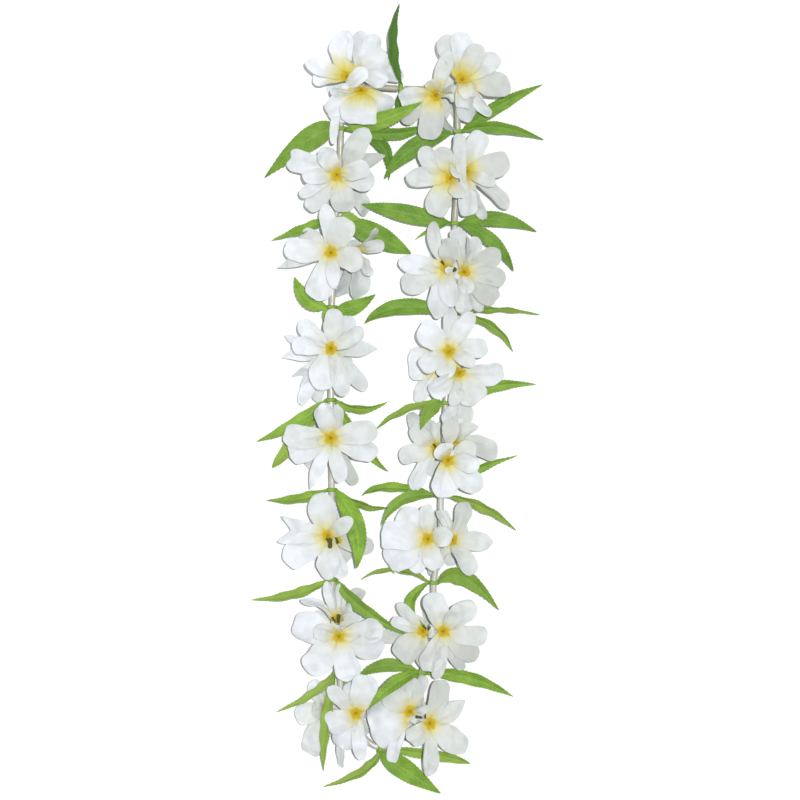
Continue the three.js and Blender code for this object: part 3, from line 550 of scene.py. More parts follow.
# Whorls: the route point that each sits at, and its leaves.
# A leaf is its middle's and its tip's offsets from the hub (x, y, up), its width and its roll in degrees.
WHORLS = {
    "top": (0, [
        ((-5.6, 27.5, 4), (-0.6, 52.5, -2), 10, 50), ((-1, -9, -4), (-3.8, -16.9, -8), 6, 30),
    ]),
    "left_1_2": (3, [
        ((-20.6, -6.3, 3), (-47.5, -30, -9), 15, 0), ((26.3, 6.3, 3), (49.4, 15.6, 9), 11.3, 0),
        ((33.8, -2.5, -2), (54.4, 3.8, -6), 8.5, 25), ((25.6, -9.6, -5), (28.8, -31.3, -11), 9.5, 20),
    ]),
    "left_2_3": (5, [
        ((-20.6, -7.5, 1), (-40, -13.1, -7), 9, 45), ((26.3, -12.5, -3), (46.3, -21.3, -9), 15, 0),
        ((8, 1, 1), (15, -1.3, 0), 7, 0),
    ]),
    "left_3_4": (7, [
        ((-15.6, 5.6, 0), (-23.1, 18.8, -4), 10.6, 0), ((13.8, 0, 2), (26.9, 8.1, -3), 10, 0),
        ((-4, -5, 0), (-4.4, -11.3, -3), 5, 0),
    ]),
    "left_4_5": (9, [
        ((-22.5, -15, 0), (-46.3, -25.6, -9), 9, 20), ((-25.6, -28.1, -7), (-36.9, -41.9, -12), 9.5, 15),
        ((18.1, -5.6, 1), (35, -1.3, -5), 8, 50), ((19.4, -28.1, -8), (35, -44.4, -12), 8, 30),
    ]),
    "left_5_6": (11, [
        ((-20, -5.6, 2), (-40.6, -6.3, -7), 9, 45), ((18.8, -9.4, 0), (35.6, -11.3, -8), 8, 55),
        ((14.4, -23.8, 14), (15, -48.1, 11), 13, 0),
    ]),
    "left_6_7": (13, [
        ((-23.1, -10, 3), (-50, -12.5, -8), 9, 45), ((20.6, -17.5, 12), (47.5, -34.4, 4), 9, 25),
    ]),
    "left_7_8": (15, [
        ((-15, -14.4, 10), (-38.8, -25.6, -4), 8, 50), ((-6.9, -33.8, 9), (-10, -62.5, -6), 9, 40),
        ((3, -6, 0), (4.4, -11.9, -1), 6, 0),
    ]),
    "bottom": (17, [
        ((-11.3, -15, 2), (-35.6, -25, -9), 8, 50), ((15.6, -15, -5), (37.5, -29.4, -12), 13.8, 0),
        ((37.5, -5.6, -10), (55.6, -11.3, -12), 8, 20),
    ]),
    "right_7_8": (19, [
        ((30, -3.8, -3), (56.3, -15.6, -10), 9.5, 20), ((-23.1, 4.4, -6), (-40.6, -4.4, -10), 9, 15),
        ((-18.8, -7.5, 15), (-33.1, -21.9, 14), 9, 20), ((-8, -9, -5), (-15, -16.9, -8), 5, 0),
    ]),
    "right_6_7": (21, [
        ((-24.4, 8.1, 2), (-45, 1.9, -5), 8, 65), ((19.4, 3.8, 1), (40, -17.5, -8), 12, 20),
        ((-15, -13.8, 0), (-4.4, -27.5, 9), 8, 30),
    ]),
    "right_5_6": (23, [
        ((-31.9, 5.6, 1), (-48.8, 0, -6), 8, 45), ((-23.8, -3.1, 11), (-36.3, -18.1, 8), 8.5, 30),
        ((27.5, -6.9, 2), (46.3, -21.9, -8), 8.5, 45), ((18.1, 14.4, -8), (47.5, 24.4, -11), 8, 35),
    ]),
    "right_4_5": (25, [
        ((-25.6, -4.4, 2), (-43.8, -16.9, -7), 8, 55), ((-10, -4.4, 7), (-15.6, -16.3, 14.5), 10, 0),
        ((27.5, 10.6, -10), (55.6, 11.3, -12), 9, 20),
    ]),
    "right_3_4": (27, [
        ((-35, 3.1, -2), (-55.6, -6.3, -9), 11, 15), ((27.5, 3.1, 0), (52.5, -1.3, -6), 8, 65),
        ((24.4, -8.8, -3), (35.6, -23.8, -9), 8, 50),
    ]),
    "right_2_3": (29, [
        ((-31.3, 6.3, 0), (-57.5, 11.9, -4), 12, 0), ((26.9, 2.5, 0), (50.6, -5, -8), 10, 0),
        ((23.1, -11.9, 5), (36.3, -29.4, -4), 9, 0), ((-14, -4, 0), (-24.4, -9.4, -3), 6, 55),
    ]),
    "right_1_2": (31, [
        ((25, 17.5, -7), (52.5, 29.4, -9), 9, 15), ((26.3, 3.1, 2), (53.1, -5, -7), 8.5, 25),
        ((-28.8, -10.6, -1), (-45, -28.8, -4), 12, 0),
    ]),
}

# Painted shade on each bloom's florets, as how dull their white is: 0 bluish, 1 greenish grey, 2 warm and
# dull
FLORET_SHADES = {
    "left_1": (0.3, 0.25, 0.1, 0.3, -0.6), "left_2": (0.7, 1.6), "left_3": (0.75, 0.9), "left_4": (0.25, 0.6),
    "left_5": (0.6, 1.0), "left_6": (0.3, 1.0), "left_7": (0.4, 0.7, 1.1), "left_8": (0.6, 1.0),
    "right_8": (1.35, 0.75), "right_7": (1.05, 1.25), "right_6": (0.5, 1.25),
    "right_5": (0.8, 0.9, 0.1, 1.0, 1.1), "right_4": (0.35, 0.3, 0.9), "right_3": (0.9, 1.3, 0.9),
    "right_2": (1.0, 0.95, 1.3, 0.5), "right_1": (0.8, 1.3),
}

# Petals with more painted shade (above 0) or less (below 0) than the rest of their floret: bloom, floret,
# petal
ODD_PETAL_SHADES = {
    ("left_2", 0, 4): -0.5, ("left_2", 1, 2): -0.7, ("left_3", 0, 2): -0.6, ("left_3", 0, 3): 0.5,
    ("left_5", 0, 4): -0.3, ("left_5", 0, 5): -0.5, ("left_5", 0, 6): 0.5, ("left_7", 0, 0): -0.4,
    ("left_7", 1, 1): -0.4, ("left_8", 1, 0): -0.6, ("left_8", 1, 1): -0.6, ("left_8", 1, 2): -0.5,
    ("right_1", 1, 2): 0.9, ("right_1", 1, 3): 0.6, ("right_2", 0, 0): 0.6, ("right_2", 0, 1): 0.6,
    ("right_5", 2, 0): -0.3, ("right_5", 2, 1): -0.5, ("right_7", 0, 5): 0.5, ("right_7", 0, 7): 0.6,
    ("right_8", 0, 2): -0.8, ("right_8", 1, 0): 0.7, ("right_8", 1, 1): -0.6,
}

# How dark or pale the leaves of each whorl are: -1 deep green, 0 middling, 1 pale
LEAF_SHADES = {
    "top": (-1, -0.8), "left_1_2": (0.15, 0.1, -0.4, -0.7), "left_2_3": (0, -0.3, 0.5),
    "left_3_4": (0, -0.2, 0.3), "left_4_5": (0.2, 0.8, 0.5, 0), "left_5_6": (0.3, 0.4, 0),
    "left_6_7": (0.55, 0.3), "left_7_8": (1, 0.75, 0), "bottom": (0.8, -0.1, 0.5),
    "right_7_8": (0, 0.3, 0, 0), "right_6_7": (1, 0.4, 0), "right_5_6": (0, 0.35, 0.9, 0),
    "right_4_5": (0.6, 0.5, 0.1), "right_3_4": (-0.35, 0.7, 0.6), "right_2_3": (-0.4, -0.4, -0.45, 0.3),
    "right_1_2": (-0.25, -0.2, -0.5),
}

# Florets whose throats are closed or out of sight, so that no star shows: bloom and floret number
CLOSED_THROATS = {
    ("left_1", 2), ("left_1", 3), ("left_1", 4), ("left_2", 1), ("left_3", 1), ("left_4", 1),
    ("left_5", 1), ("left_7", 2), ("left_8", 1), ("right_5", 3), ("right_5", 4), ("right_4", 2),
    ("right_3", 2), ("right_2", 2), ("right_2", 3),
}

# Ends of stem pegs that show between the petals of a bloom: where each starts, where it ends and its radius
PEGS = {
    "left_6": [
        ((-41.9, -85.2, 22), (-42.5, -93, 26), 1.5), ((-44.4, -87.5, 22.5), (-42.8, -88.6, 25), 1.4),
        ((-38.8, -86.5, 21), (-37.3, -90, 23.5), 0.9),
    ],
    "left_7": [
        ((-37.5, -140.6, 19), (-37, -134.5, 23), 1.3), ((-38.8, -140, 19), (-41.2, -136.2, 22.5), 0.8),
    ],
    "right_3": [((33, 79, 21), (35.8, 81.2, 25.5), 1.4), ((29.4, 83, 22), (26.9, 86.2, 25), 0.8)],
    "right_5": [((24.4, -31.2, 18), (22.2, -28, 22), 0.7), ((27, -29.8, 19), (30, -28, 23), 0.7)],
    "right_7": [((18.5, -145, 21), (15.4, -141.2, 25), 0.7), ((18.5, -145, 21), (20.2, -142, 25), 0.7)],
    "right_8": [((14.5, -199, 22), (11.4, -198.2, 25.5), 1.1)],
}


# Small vector work

def unit(vector):
    """The same direction with a length of one."""
    return vector / np.linalg.norm(vector)


def square_to(vector, axis):
    """The unit direction of a vector's share square to an axis."""
    return unit(vector - axis * np.dot(vector, axis))


def around(side, other, angle):
    """The direction at an angle round an axis, from two directions square to it and to each other."""
    return side * math.cos(angle) + other * math.sin(angle)


def turned(vector, axis, degrees):
    """A vector turned about an axis that it is square to."""
    return around(vector, np.cross(axis, vector), math.radians(degrees))


def smooth_step(low, high, value):
    """0 up to the low end, 1 from the high end on, and a smooth change between them."""
    share = np.clip((value - low) / (high - low), 0, 1)
    return share * share * (3 - 2 * share)


# The string's route

def route_points():
    """Points close together on a centripetal curve through the route's points, closed on itself."""
    points = []
    count = len(ROUTE)
    for i in range(count):
        before, start, end, after = (np.array(ROUTE[(i + k) % count], float) for k in (-1, 0, 1, 2))
        gap_in = np.linalg.norm(start - before) ** 0.5
        gap = np.linalg.norm(end - start) ** 0.5
        gap_out = np.linalg.norm(after - end) ** 0.5
        leaving = (start - before) / gap_in - (end - before) / (gap_in + gap) + (end - start) / gap
        coming = (end - start) / gap - (after - start) / (gap + gap_out) + (after - end) / gap_out
        leaving = leaving * gap
        coming = coming * gap
        for step in range(ROUTE_STEPS):
            t = step / ROUTE_STEPS
            bend = (3 * (end - start) - 2 * leaving - coming) * t ** 2
            twist = (2 * (start - end) + leaving + coming) * t ** 3
            points.append(start + leaving * t + bend + twist)
    return np.array(points)


class Route:
    """The closed route, read by how far along it a place lies."""

    def __init__(self):
        points = route_points()
        closed = np.vstack([points, points[:1]])
        steps = np.linalg.norm(np.diff(closed, axis=0), axis=1)
        self.closed = closed
        self.along = np.concatenate([[0], np.cumsum(steps)])
        self.length = self.along[-1]
        self.places = self.along[:-1:ROUTE_STEPS]

    def point(self, distance):
        """The place on the string at a distance along it."""
        distance = distance % self.length
        x, y = (np.interp(distance, self.along, self.closed[:, axis]) for axis in (0, 1))
        return np.array([x, y, STRING_HEIGHT])

    def tangent(self, distance, reach=0.5):
        """The way that the string runs there, taken over a short reach to both sides."""
        return unit(self.point(distance + reach) - self.point(distance - reach))


route = Route()


# Meshes

class Sewing:
    """Gathers surfaces into one mesh.

    Each point keeps its place on its own cloth, in millimetres across and along with its blade's random
    draw, and its paint: how far out it is, its tone (on petals partly painted shade), and 1 on a front or 0
    on a back or a peg.
    """

    def __init__(self):
        self.points = []
        self.faces = []
        self.place = []
        self.paint = []
        self.count = 0

    def add(self, points, faces, place, paint):
        """Takes in a surface, whose faces count from its own first point."""
        self.points.append(points)
        self.faces.extend([tuple(corner + self.count for corner in face) for face in faces])
        self.place.append(place)
        self.paint.append(paint)
        self.count += len(points)

    def finish(self, name, material, slot):
        """The piece of all the surfaces so far, in its material, riding the lei; the slot is not used."""
        mesh = bpy.data.meshes.new(name)
        mesh.from_pydata(np.vstack(self.points) * MM, [], self.faces)
        for label, values in (("cloth_place", self.place), ("cloth_paint", self.paint)):
            attribute = mesh.attributes.new(label, "FLOAT_VECTOR", "POINT")
            attribute.data.foreach_set("vector", np.vstack(values).astype(np.float32).ravel())
        mesh.shade_smooth()
        mesh.set_sharp_from_angle(angle=math.radians(SHARP_EDGE))
        mesh.materials.append(material)
        piece = bpy.data.objects.new(name, mesh)
        bpy.context.scene.collection.objects.link(piece)
        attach(piece, "root")
        return piece


def two_sided(faces, count):
    """A sheet's faces and those of its back, whose points come after the sheet's own."""
    return faces + [tuple(corner + count for corner in reversed(face)) for face in faces]


def blade_faces(rows, columns):
    """The faces of a grid whose last row is one point, and the points round its edge."""
    last = (rows - 1) * columns
    faces = []
    for row in range(rows - 1):
        for column in range(columns - 1):
            near = row * columns + column
            far = near + columns
            if row < rows - 2:
                faces.append((near, near + 1, far + 1, far))
            else:
                faces.append((near, near + 1, last))
    edge = list(range(columns))
    edge += [row * columns + columns - 1 for row in range(1, rows - 1)]
    edge.append(last)
    edge += [row * columns for row in range(rows - 2, 0, -1)]
    return faces, edge


def blade(sewing, grid, thickness, place, paint):
    """A closed sheet from a grid of points, rows along it and columns across, drawn to a point at its end."""
    rows, columns = grid.shape[:2]
    along = np.gradient(grid, axis=0)
    across = np.gradient(grid, axis=1)
    across[-1] = across[-2]
    normals = np.cross(along, across)
    normals /= np.maximum(np.linalg.norm(normals, axis=2, keepdims=True), TINY)
    lift = normals * thickness / 2
    count = (rows - 1) * columns + 1
    front = (grid - lift).reshape(-1, 3)[:count]
    back = (grid + lift).reshape(-1, 3)[:count]
    place = np.tile(place.reshape(-1, 3)[:count], (2, 1))
    paint = np.tile(paint.reshape(-1, 3)[:count], (2, 1))
    paint[count:, 2] = 0
    faces, edge = blade_faces(rows, columns)
    sheets = two_sided(faces, count)
    for here, there in zip(edge, edge[1:] + edge[:1]):
        sheets.append((there, here, here + count, there + count))
    sewing.add(np.vstack([front, back]), sheets, place, paint)


def skin(count, sides, closed):
    """The faces between rings of points, each ring joined to the next."""
    faces = []
    for i in range(count if closed else count - 1):
        near = i * sides
        far = (i + 1) % count * sides
        for k in range(sides):
            following = (k + 1) % sides
            faces.append((near + k, near + following, far + following, far + k))
    return faces


def turned_body(sewing, stations, sides, draw, paint=(BARE_REACH, 0, 1), closed=False):
    """A round body through stations of (centre, axis, radius); closed joins the last to the first."""
    points = []
    place = []
    side = np.array([1.0, 0.0, 0.0])
    run = 0
    for i, (centre, axis, radius) in enumerate(stations):
        if abs(np.dot(side, axis)) > NEARLY_ALONG:
            side = np.array([0.0, 1.0, 0.0])
        side = square_to(side, axis)
        other = np.cross(axis, side)
        if i:
            run += np.linalg.norm(centre - stations[i - 1][0])
        for k in range(sides):
            angle = 2 * math.pi * k / sides
            points.append(centre + radius * around(side, other, angle))
            place.append((angle * radius, run, draw))
    count = len(stations)
    faces = skin(count, sides, closed)
    if not closed:
        faces.append(tuple(reversed(range(sides))))
        faces.append(tuple(range((count - 1) * sides, count * sides)))
    sewing.add(np.array(points), faces, np.array(place), np.tile(paint, (len(points), 1)))


def sleeve(sewing, start, end, outer, inner, sides, draw=PLAIN_DRAW):
    """An open tube on the string between two places along it, with its rims rounded over."""
    rim = (outer - inner) / 2
    middle = (outer + inner) / 2
    runs = np.linspace(start + rim, end - rim, max(2, round((end - start) / SLEEVE_STEP)))
    rounds = np.linspace(0, math.pi, RIM_STEPS + 1)[1:-1]
    loop = [(at, outer) for at in runs]
    loop += [(end - rim + rim * math.sin(angle), middle + rim * math.cos(angle)) for angle in rounds]
    loop += [(at, inner) for at in reversed(runs)]
    loop += [(start + rim - rim * math.sin(angle), middle - rim * math.cos(angle)) for angle in rounds]
    stations = [(route.point(at), route.tangent(at), radius) for at, radius in loop]
    turned_body(sewing, stations, sides, draw, closed=True)


# Petals

def petal_outline(out, form, draws):
    """A petal's half width at a share of its length, as a share of its greatest."""
    widest = PETAL_WIDEST + draws.uniform(-WIDEST_DRIFT, WIDEST_DRIFT)
    root = draws.uniform(*PETAL_ROOT)
    power = draws.uniform(*ROUND_POWER)
    if form == "point":
        swelling = np.sin(math.pi * out ** POINT_SWELL) ** POINT_FULLNESS
        return root * (1 - out) + (1 - root) * swelling
    if form == "square":
        power = SQUARE_POWER
    if form == "notch":
        power = NOTCH_POWER
    shoulder = np.sin(0.5 * math.pi * np.clip(out / widest, 0, 1)) ** PETAL_SHOULDER
    rising = root + (1 - root) * shoulder
    past = np.clip((out - widest) / (1 - widest), 0, 1)
    return np.where(out < widest, rising, (1 - past ** power) ** (1 / power))


def edge_ripple(side, out, draws):
    """How much wider or narrower each side of a petal runs than its plain outline."""
    share = 0
    for sign in (-1, 1):
        waves = draws.uniform(*RIPPLE_WAVES)
        start = draws.random()
        reach = draws.uniform(*RIPPLE_REACH)
        share = share + reach * np.clip(sign * side, 0, 1) * np.sin(2 * math.pi * (waves * out + start))
    return 1 + share * smooth_step(*RIPPLE_FADE, out)


def end_waves(x, out, draws):
    """How far the end of a petal runs out or falls short, across its width."""
    reach = draws.uniform(*END_WAVE)
    pitch = draws.uniform(*END_PITCH)
    start = draws.uniform(0, 2 * math.pi)
    return reach * np.sin(2 * math.pi * x / pitch + start) * smooth_step(*END_FADE, out)


def crumple(across, along, draws):
    """Small folds in pressed cloth: a few crossing waves of their own direction and length."""
    height = np.zeros(np.broadcast(across, along).shape)
    for _ in range(CRUMPLE_WAVES):
        pitch = draws.uniform(*CRUMPLE_PITCH)
        heading = draws.uniform(0, math.pi)
        start = draws.uniform(0, 2 * math.pi)
        run = across * math.cos(heading) + along * math.sin(heading)
        height += np.sin(2 * math.pi * run / pitch + start) * pitch / CRUMPLE_PITCH[1]
    return height * CRUMPLE_HEIGHT


def petal_creases(side, out, draws):
    """Soft grooves that run from the throat towards the tip: one near the middle and one on each side."""
    height = 0
    run = np.sin(math.pi * out ** CREASE_RUN)
    for middle, depth in CREASES:
        line = middle + draws.uniform(-CREASE_DRIFT, CREASE_DRIFT)
        deep = depth * draws.uniform(*CREASE_DEPTH) * draws.choice(CREASE_SIGNS)
        height = height - deep * np.exp(-(((side - line) / CREASE_WIDTH) ** 2)) * run
    return height


def edge_waves(side, out, draws):
    """The free edges of a petal lift and fall as they run to the tip."""
    height = 0
    for sign in (-1, 1):
        waves = draws.uniform(*EDGE_WAVES)
        start = draws.random()
        lift = draws.uniform(*EDGE_LIFT)
        weight = np.clip(sign * side, 0, 1) ** 2 * smooth_step(*EDGE_FADE, out)
        height = height + lift * weight * np.sin(2 * math.pi * (waves * out + start))
    return height


def petal_height(x, y, side, out, half, length, draws):
    """How high each point of a petal stands off the line from its root to its tip."""
    height = length * PETAL_ARCH * np.sin(math.pi * out)
    height = height + PETAL_CUP * half * side ** 2 * smooth_step(*ROOT_FADE, out)
    height = height + crumple(x, y, draws) * smooth_step(*CRUMPLE_FADE, out)
    height = height + petal_creases(side, out, draws) + edge_waves(side, out, draws)
    return height + draws.uniform(*TIP_LIFT) * smooth_step(*TIP_FADE, out)


def plain_form(x, y, z, side, out, half, length):
    """As it is: the outline alone sets it apart."""
    return x, y, z


def cup_form(x, y, z, side, out, half, length):
    """The sides and the tip stand up, as in a spoon."""
    sides = CUP_DEPTH * half * side ** 2 * smooth_step(*CUP_FADE, out)
    end = CUP_TIP * length * smooth_step(*END_TURN, out)
    return x * (1 - CUP_SQUEEZE * side ** 2), y, z + sides + end


def dome_form(x, y, z, side, out, half, length):
    """The sides and the tip hang down, as in a spoon turned over."""
    sides = DOME_SIDES * half * side ** 2 * smooth_step(*DOME_FADE, out)
    end = DOME_TIP * length * smooth_step(*END_TURN, out)
    return x, y, z - sides - end


def notch_form(x, y, z, side, out, half, length):
    """The end is cut in between two points."""
    dip = np.clip(1 - np.abs(x) / half.max(), 0, 1)
    return x, y - NOTCH_DEPTH * length * dip * smooth_step(*NOTCH_FADE, out), z


def fold_form(x, y, z, side, out, half, length):
    """The right-hand edge is folded back over the petal along a line from the throat."""
    past = np.clip(side - FOLD_LINE, 0, 1) * smooth_step(*FOLD_FADE, out)
    x = x - FOLD_REACH * past * half
    z = z + FOLD_GAP * np.sqrt(past / (1 - FOLD_LINE) + FOLD_EASE)
    return x, y, z


FORMS = {
    "": plain_form,
    "point": plain_form,
    "square": plain_form,
    "cup": cup_form,
    "dome": dome_form,
    "notch": notch_form,
    "fold": fold_form,
}


def petal(sewing, root, tip, faces, flush, tone, draws, width, roll=0, form=""):
    """One petal, a spoon of thin cloth that arches from its root in the throat to its tip."""
    along = unit(tip - root)
    length = np.linalg.norm(tip - root)
    up = square_to(faces, along)
    across = np.cross(along, up)
    out = np.sin(0.5 * math.pi * np.linspace(0, 1, PETAL_ROWS))[:, None]
    side = np.linspace(-1, 1, PETAL_COLUMNS)[None, :]
    half = 0.5 * width * petal_outline(out, form, draws)
    flat_x = side * half * edge_ripple(side, out, draws)
    flat_y = out * length + end_waves(flat_x, out, draws)
    z = petal_height(flat_x, flat_y, side, out, half, length, draws)
    x = flat_x + draws.uniform(-1, 1) * SIDE_BEND * length * np.sin(math.pi * out)
    x, y, z = FORMS[form](x, flat_y, z, side, out, half, length)
    lean = math.radians(roll) * smooth_step(*ROOT_FADE, out)
    leant_x = x * np.cos(lean) + z * np.sin(lean)
    leant_z = z * np.cos(lean) - x * np.sin(lean)
    grid = root + leant_x[..., None] * across + y[..., None] * along + leant_z[..., None] * up
    grid[..., 2] = np.maximum(grid[..., 2], FLOOR_CLEAR)
    draw = draws.random()
    place = np.stack([flat_x, flat_y, np.full_like(flat_x, draw)], axis=-1)
    reach = (THROAT_RING + flat_y) / flush
    # A petal's tone is a random draw plus the painted shade passed in, and more painted shade when it points
    # right
    tone = tone + DRAW_TONE * (draw - 0.5) + RIGHT_SHADE * along[0]
    paint = np.stack([reach, np.full_like(flat_x, tone), np.ones_like(flat_x)], axis=-1)
    blade(sewing, grid, PETAL_CLOTH, place, paint)


def floret_stem(sewing, foot, throat, faces):
    """The stem from a bloom's core, flaring into the cup under a floret's petals."""
    end = throat - faces * STEM_DROP
    axis = unit(end - foot)
    reach = np.linalg.norm(end - foot)
    rim = faces if np.dot(axis, faces) > 0 else -faces
    stations = []
    for share, radius in STEM_PROFILE:
        place = foot + axis * (STEM_START + (reach - STEM_START) * share)
        heading = unit(axis + (rim - axis) * smooth_step(*STEM_TURN, share))
        stations.append((place, heading, radius))
    turned_body(sewing, stations, STEM_SIDES, PLAIN_DRAW)


def back_layer(sewing, foot, name):
    """The petals at the back of a bloom, spread on the surface, and the short stem up to the core."""
    seat = np.array([foot[0], foot[1], BACK_REST])
    faces = np.array(UP, float)
    for i in range(BACK_PETALS):
        draws = random.Random(f"{name} back {i}")
        angle = 2 * math.pi * (i + BACK_TURN) / BACK_PETALS
        heading = np.array([math.cos(angle), math.sin(angle), 0.0])
        root = seat + heading * BACK_ROOT + faces * BACK_LAP * (i % BACK_LAYERS)
        tip = seat + heading * BACK_REACH
        # The back layer takes the painted shade of the bloom's first floret
        petal(sewing, root, tip, faces, BACK_FLUSH, FLORET_SHADES[name][0], draws, BACK_WIDTH)
    drop = foot[2] - BACK_REST
    stations = [(foot - faces * drop * share, -faces, radius) for share, radius in BACK_STEM]
    turned_body(sewing, stations, STEM_SIDES, PLAIN_DRAW)


def bloom_petals(name, place, florets):
    """All the white cloth of a bloom: its florets, their stems, the core on the string and the back layer."""
    sewing = Sewing()
    foot = route.point(place)
    for number, (throat, faces, flush, petals) in enumerate(florets):
        throat = np.array(throat, float)
        faces = unit(np.array(faces, float))
        floret_stem(sewing, foot, throat, faces)
        for turn, (dx, dy, rise, *cut) in enumerate(petals):
            offset = np.array([dx, dy, rise], float)
            lap = PETAL_LAP * (turn % PETAL_LAYERS)
            root = throat + square_to(offset, faces) * THROAT_RING + faces * lap
            draws = random.Random(f"{name} {number} {turn}")
            # Painted shade of the floret, with more or less on odd petals
            tone = FLORET_SHADES[name][number] + ODD_PETAL_SHADES.get((name, number, turn), 0)
            petal(sewing, root, throat + offset, faces, flush, tone, draws, *cut)
    half = CORE_LENGTH / 2
    sleeve(sewing, place - half, place + half, CORE_RADIUS, BORE_RADIUS, SLEEVE_SIDES)
    back_layer(sewing, foot, name)
    return sewing


# Hearts

def star_faces():
    """The faces of a disc of spokes and rings round its middle point."""
    faces = []
    for k in range(STAR_SPOKES):
        following = (k + 1) % STAR_SPOKES
        faces.append((0, 1 + k, 1 + following))
        for ring in range(STAR_RINGS - 1):
            near = 1 + ring * STAR_SPOKES
            far = near + STAR_SPOKES
            faces.append((near + k, far + k, far + following, near + following))
    return faces


def heart_star(sewing, throat, faces, side, other, draws):
    """The gold star in a throat: a thin ruffled disc with pointed lobes and a sunk middle."""
    start = draws.uniform(0, 2 * math.pi)
    lobes = [draws.uniform(*STAR_LOBE) for _ in range(STAR_LOBES)]
    draw = draws.random()
    points = [throat + faces * STAR_DIP]
    place = [(0, 0, draw)]
    paint = [(0, 0, 1)]
    for ring in np.linspace(0, 1, STAR_RINGS + 1)[1:]:
        for k, turn in enumerate(np.linspace(0, 2 * math.pi, STAR_SPOKES, endpoint=False)):
            lobe = lobes[int(k * STAR_LOBES / STAR_SPOKES)]
            wave = abs(math.cos(0.5 * STAR_LOBES * turn)) ** STAR_POINT
            reach = ring * (STAR_NOTCH + (STAR_REACH * lobe - STAR_NOTCH) * wave)
            brow = STAR_BROW * math.sin(0.5 * math.pi * ring ** STAR_BROW_CURVE)
            rise = STAR_DIP + brow + STAR_RUFFLE * math.sin(STAR_RUFFLES * turn + ring)
            points.append(throat + around(side, other, turn + start) * reach + faces * rise)
            place.append((reach * math.cos(turn), reach * math.sin(turn), draw))
            paint.append((ring, 0, 1))
    count = len(points)
    under = [point - faces * STAR_CLOTH for point in points]
    sheets = two_sided(star_faces(), count)
    rim = list(range(count - STAR_SPOKES, count))
    for here, there in zip(rim, rim[1:] + rim[:1]):
        sheets.append((here, here + count, there + count, there))
    sewing.add(np.array(points + under), sheets, np.array(place * 2, float), np.array(paint * 2, float))


def pin(sewing, foot, tip, radius, paint):
    """A small pin with a rounded head."""
    axis = unit(tip - foot)
    length = np.linalg.norm(tip - foot)
    stations = [(foot + axis * length * share, axis, radius * wide) for share, wide in PIN_PROFILE]
    turned_body(sewing, stations, PIN_SIDES, PLAIN_DRAW, paint)


def stamens(sewing, throat, faces, side, other, draws):
    """A few short pins in the middle of a star."""
    for _ in range(STAMENS):
        radial = around(side, other, draws.uniform(0, 2 * math.pi))
        tip = throat + radial * draws.uniform(*STAMEN_SPREAD) + faces * draws.uniform(*STAMEN_REACH)
        pin(sewing, throat + radial * STAMEN_FOOT, tip, STAMEN_RADIUS, STAMEN_PAINT)


def bloom_heart(name, florets):
    """The gold stars of a bloom's florets with the stamens and stem pegs that show in them."""
    sewing = Sewing()
    for number, (throat, faces, _, _) in enumerate(florets):
        if (name, number) in CLOSED_THROATS:
            continue
        draws = random.Random(f"{name} heart {number}")
        throat = np.array(throat, float)
        faces = unit(np.array(faces, float))
        side = square_to(np.array(HEART_SIDE), faces)
        other = np.cross(faces, side)
        heart_star(sewing, throat, faces, side, other, draws)
        stamens(sewing, throat, faces, side, other, draws)
    for foot, tip, radius in PEGS.get(name, []):
        pin(sewing, np.array(foot, float), np.array(tip, float), radius, PEG_PAINT)
    return sewing


# Leaves

def leaf_spine(root, middle, tip, out):
    """Points down a leaf's middle and the way that it runs at each, curving over its middle to its tip."""
    control = 2 * middle - 0.5 * root - 0.5 * tip
    back = 1 - out
    points = np.outer(back ** 2, root) + np.outer(2 * out * back, control) + np.outer(out ** 2, tip)
    tangents = np.outer(back, control - root) + np.outer(out, tip - control)
    return points, tangents


def leaf_sides(tangents, roll):
    """Which way is across a leaf and which is up from it, down its length, rolled by some degrees."""
    acrosses = []
    ups = []
    for tangent in tangents:
        heading = unit(tangent)
        up = turned(square_to(np.array(UP, float), heading), heading, roll)
        ups.append(up)
        acrosses.append(np.cross(heading, up))
    return np.array(acrosses)[:, None, :], np.array(ups)[:, None, :]


def leaf_outline(out, width):
    """A leaf's half width down its length, with teeth cut into its edge and a narrow stalk."""
    tooth = np.array([TOOTH_FORM[i % ROWS_A_TOOTH] for i in range(len(out))]) * TOOTH_DEPTH
    tooth = tooth * smooth_step(0, TOOTH_FADE, 1 - out)
    body = 0.5 * width * np.sin(math.pi * np.clip(out, 0, 1) ** LEAF_SKEW) ** LEAF_FULLNESS - tooth
    stalk = LEAF_STALK * (1 - smooth_step(*STALK_FADE, out))
    return np.maximum(body, stalk)[:, None]


def leaf_veins(x, run, out):
    """How high a leaf's two halves, midrib and side veins stand off its flat."""
    inside = smooth_step(*VEIN_INSET, np.abs(x)) * smooth_step(*VEIN_START, out)[:, None]
    veins = np.cos(2 * math.pi * (run - VEIN_SLANT * np.abs(x)) / VEIN_PITCH)
    rib = RIB_DEPTH * np.exp(-((x / RIB_WIDTH) ** 2))
    return LEAF_FOLD * np.abs(x) - rib + VEIN_HEIGHT * veins * inside


def leaf_waves(side, run, share, draws):
    """How the two edges of a leaf lift and fall, by the share of its full width that it has there."""
    height = 0
    for sign in (-1, 1):
        wave = np.sin(2 * math.pi * (run / LEAF_WAVE_PITCH + draws.random()))
        height = height + LEAF_WAVE * np.clip(sign * side, 0, 1) ** LEAF_WAVE_EDGE * wave * share
    return height


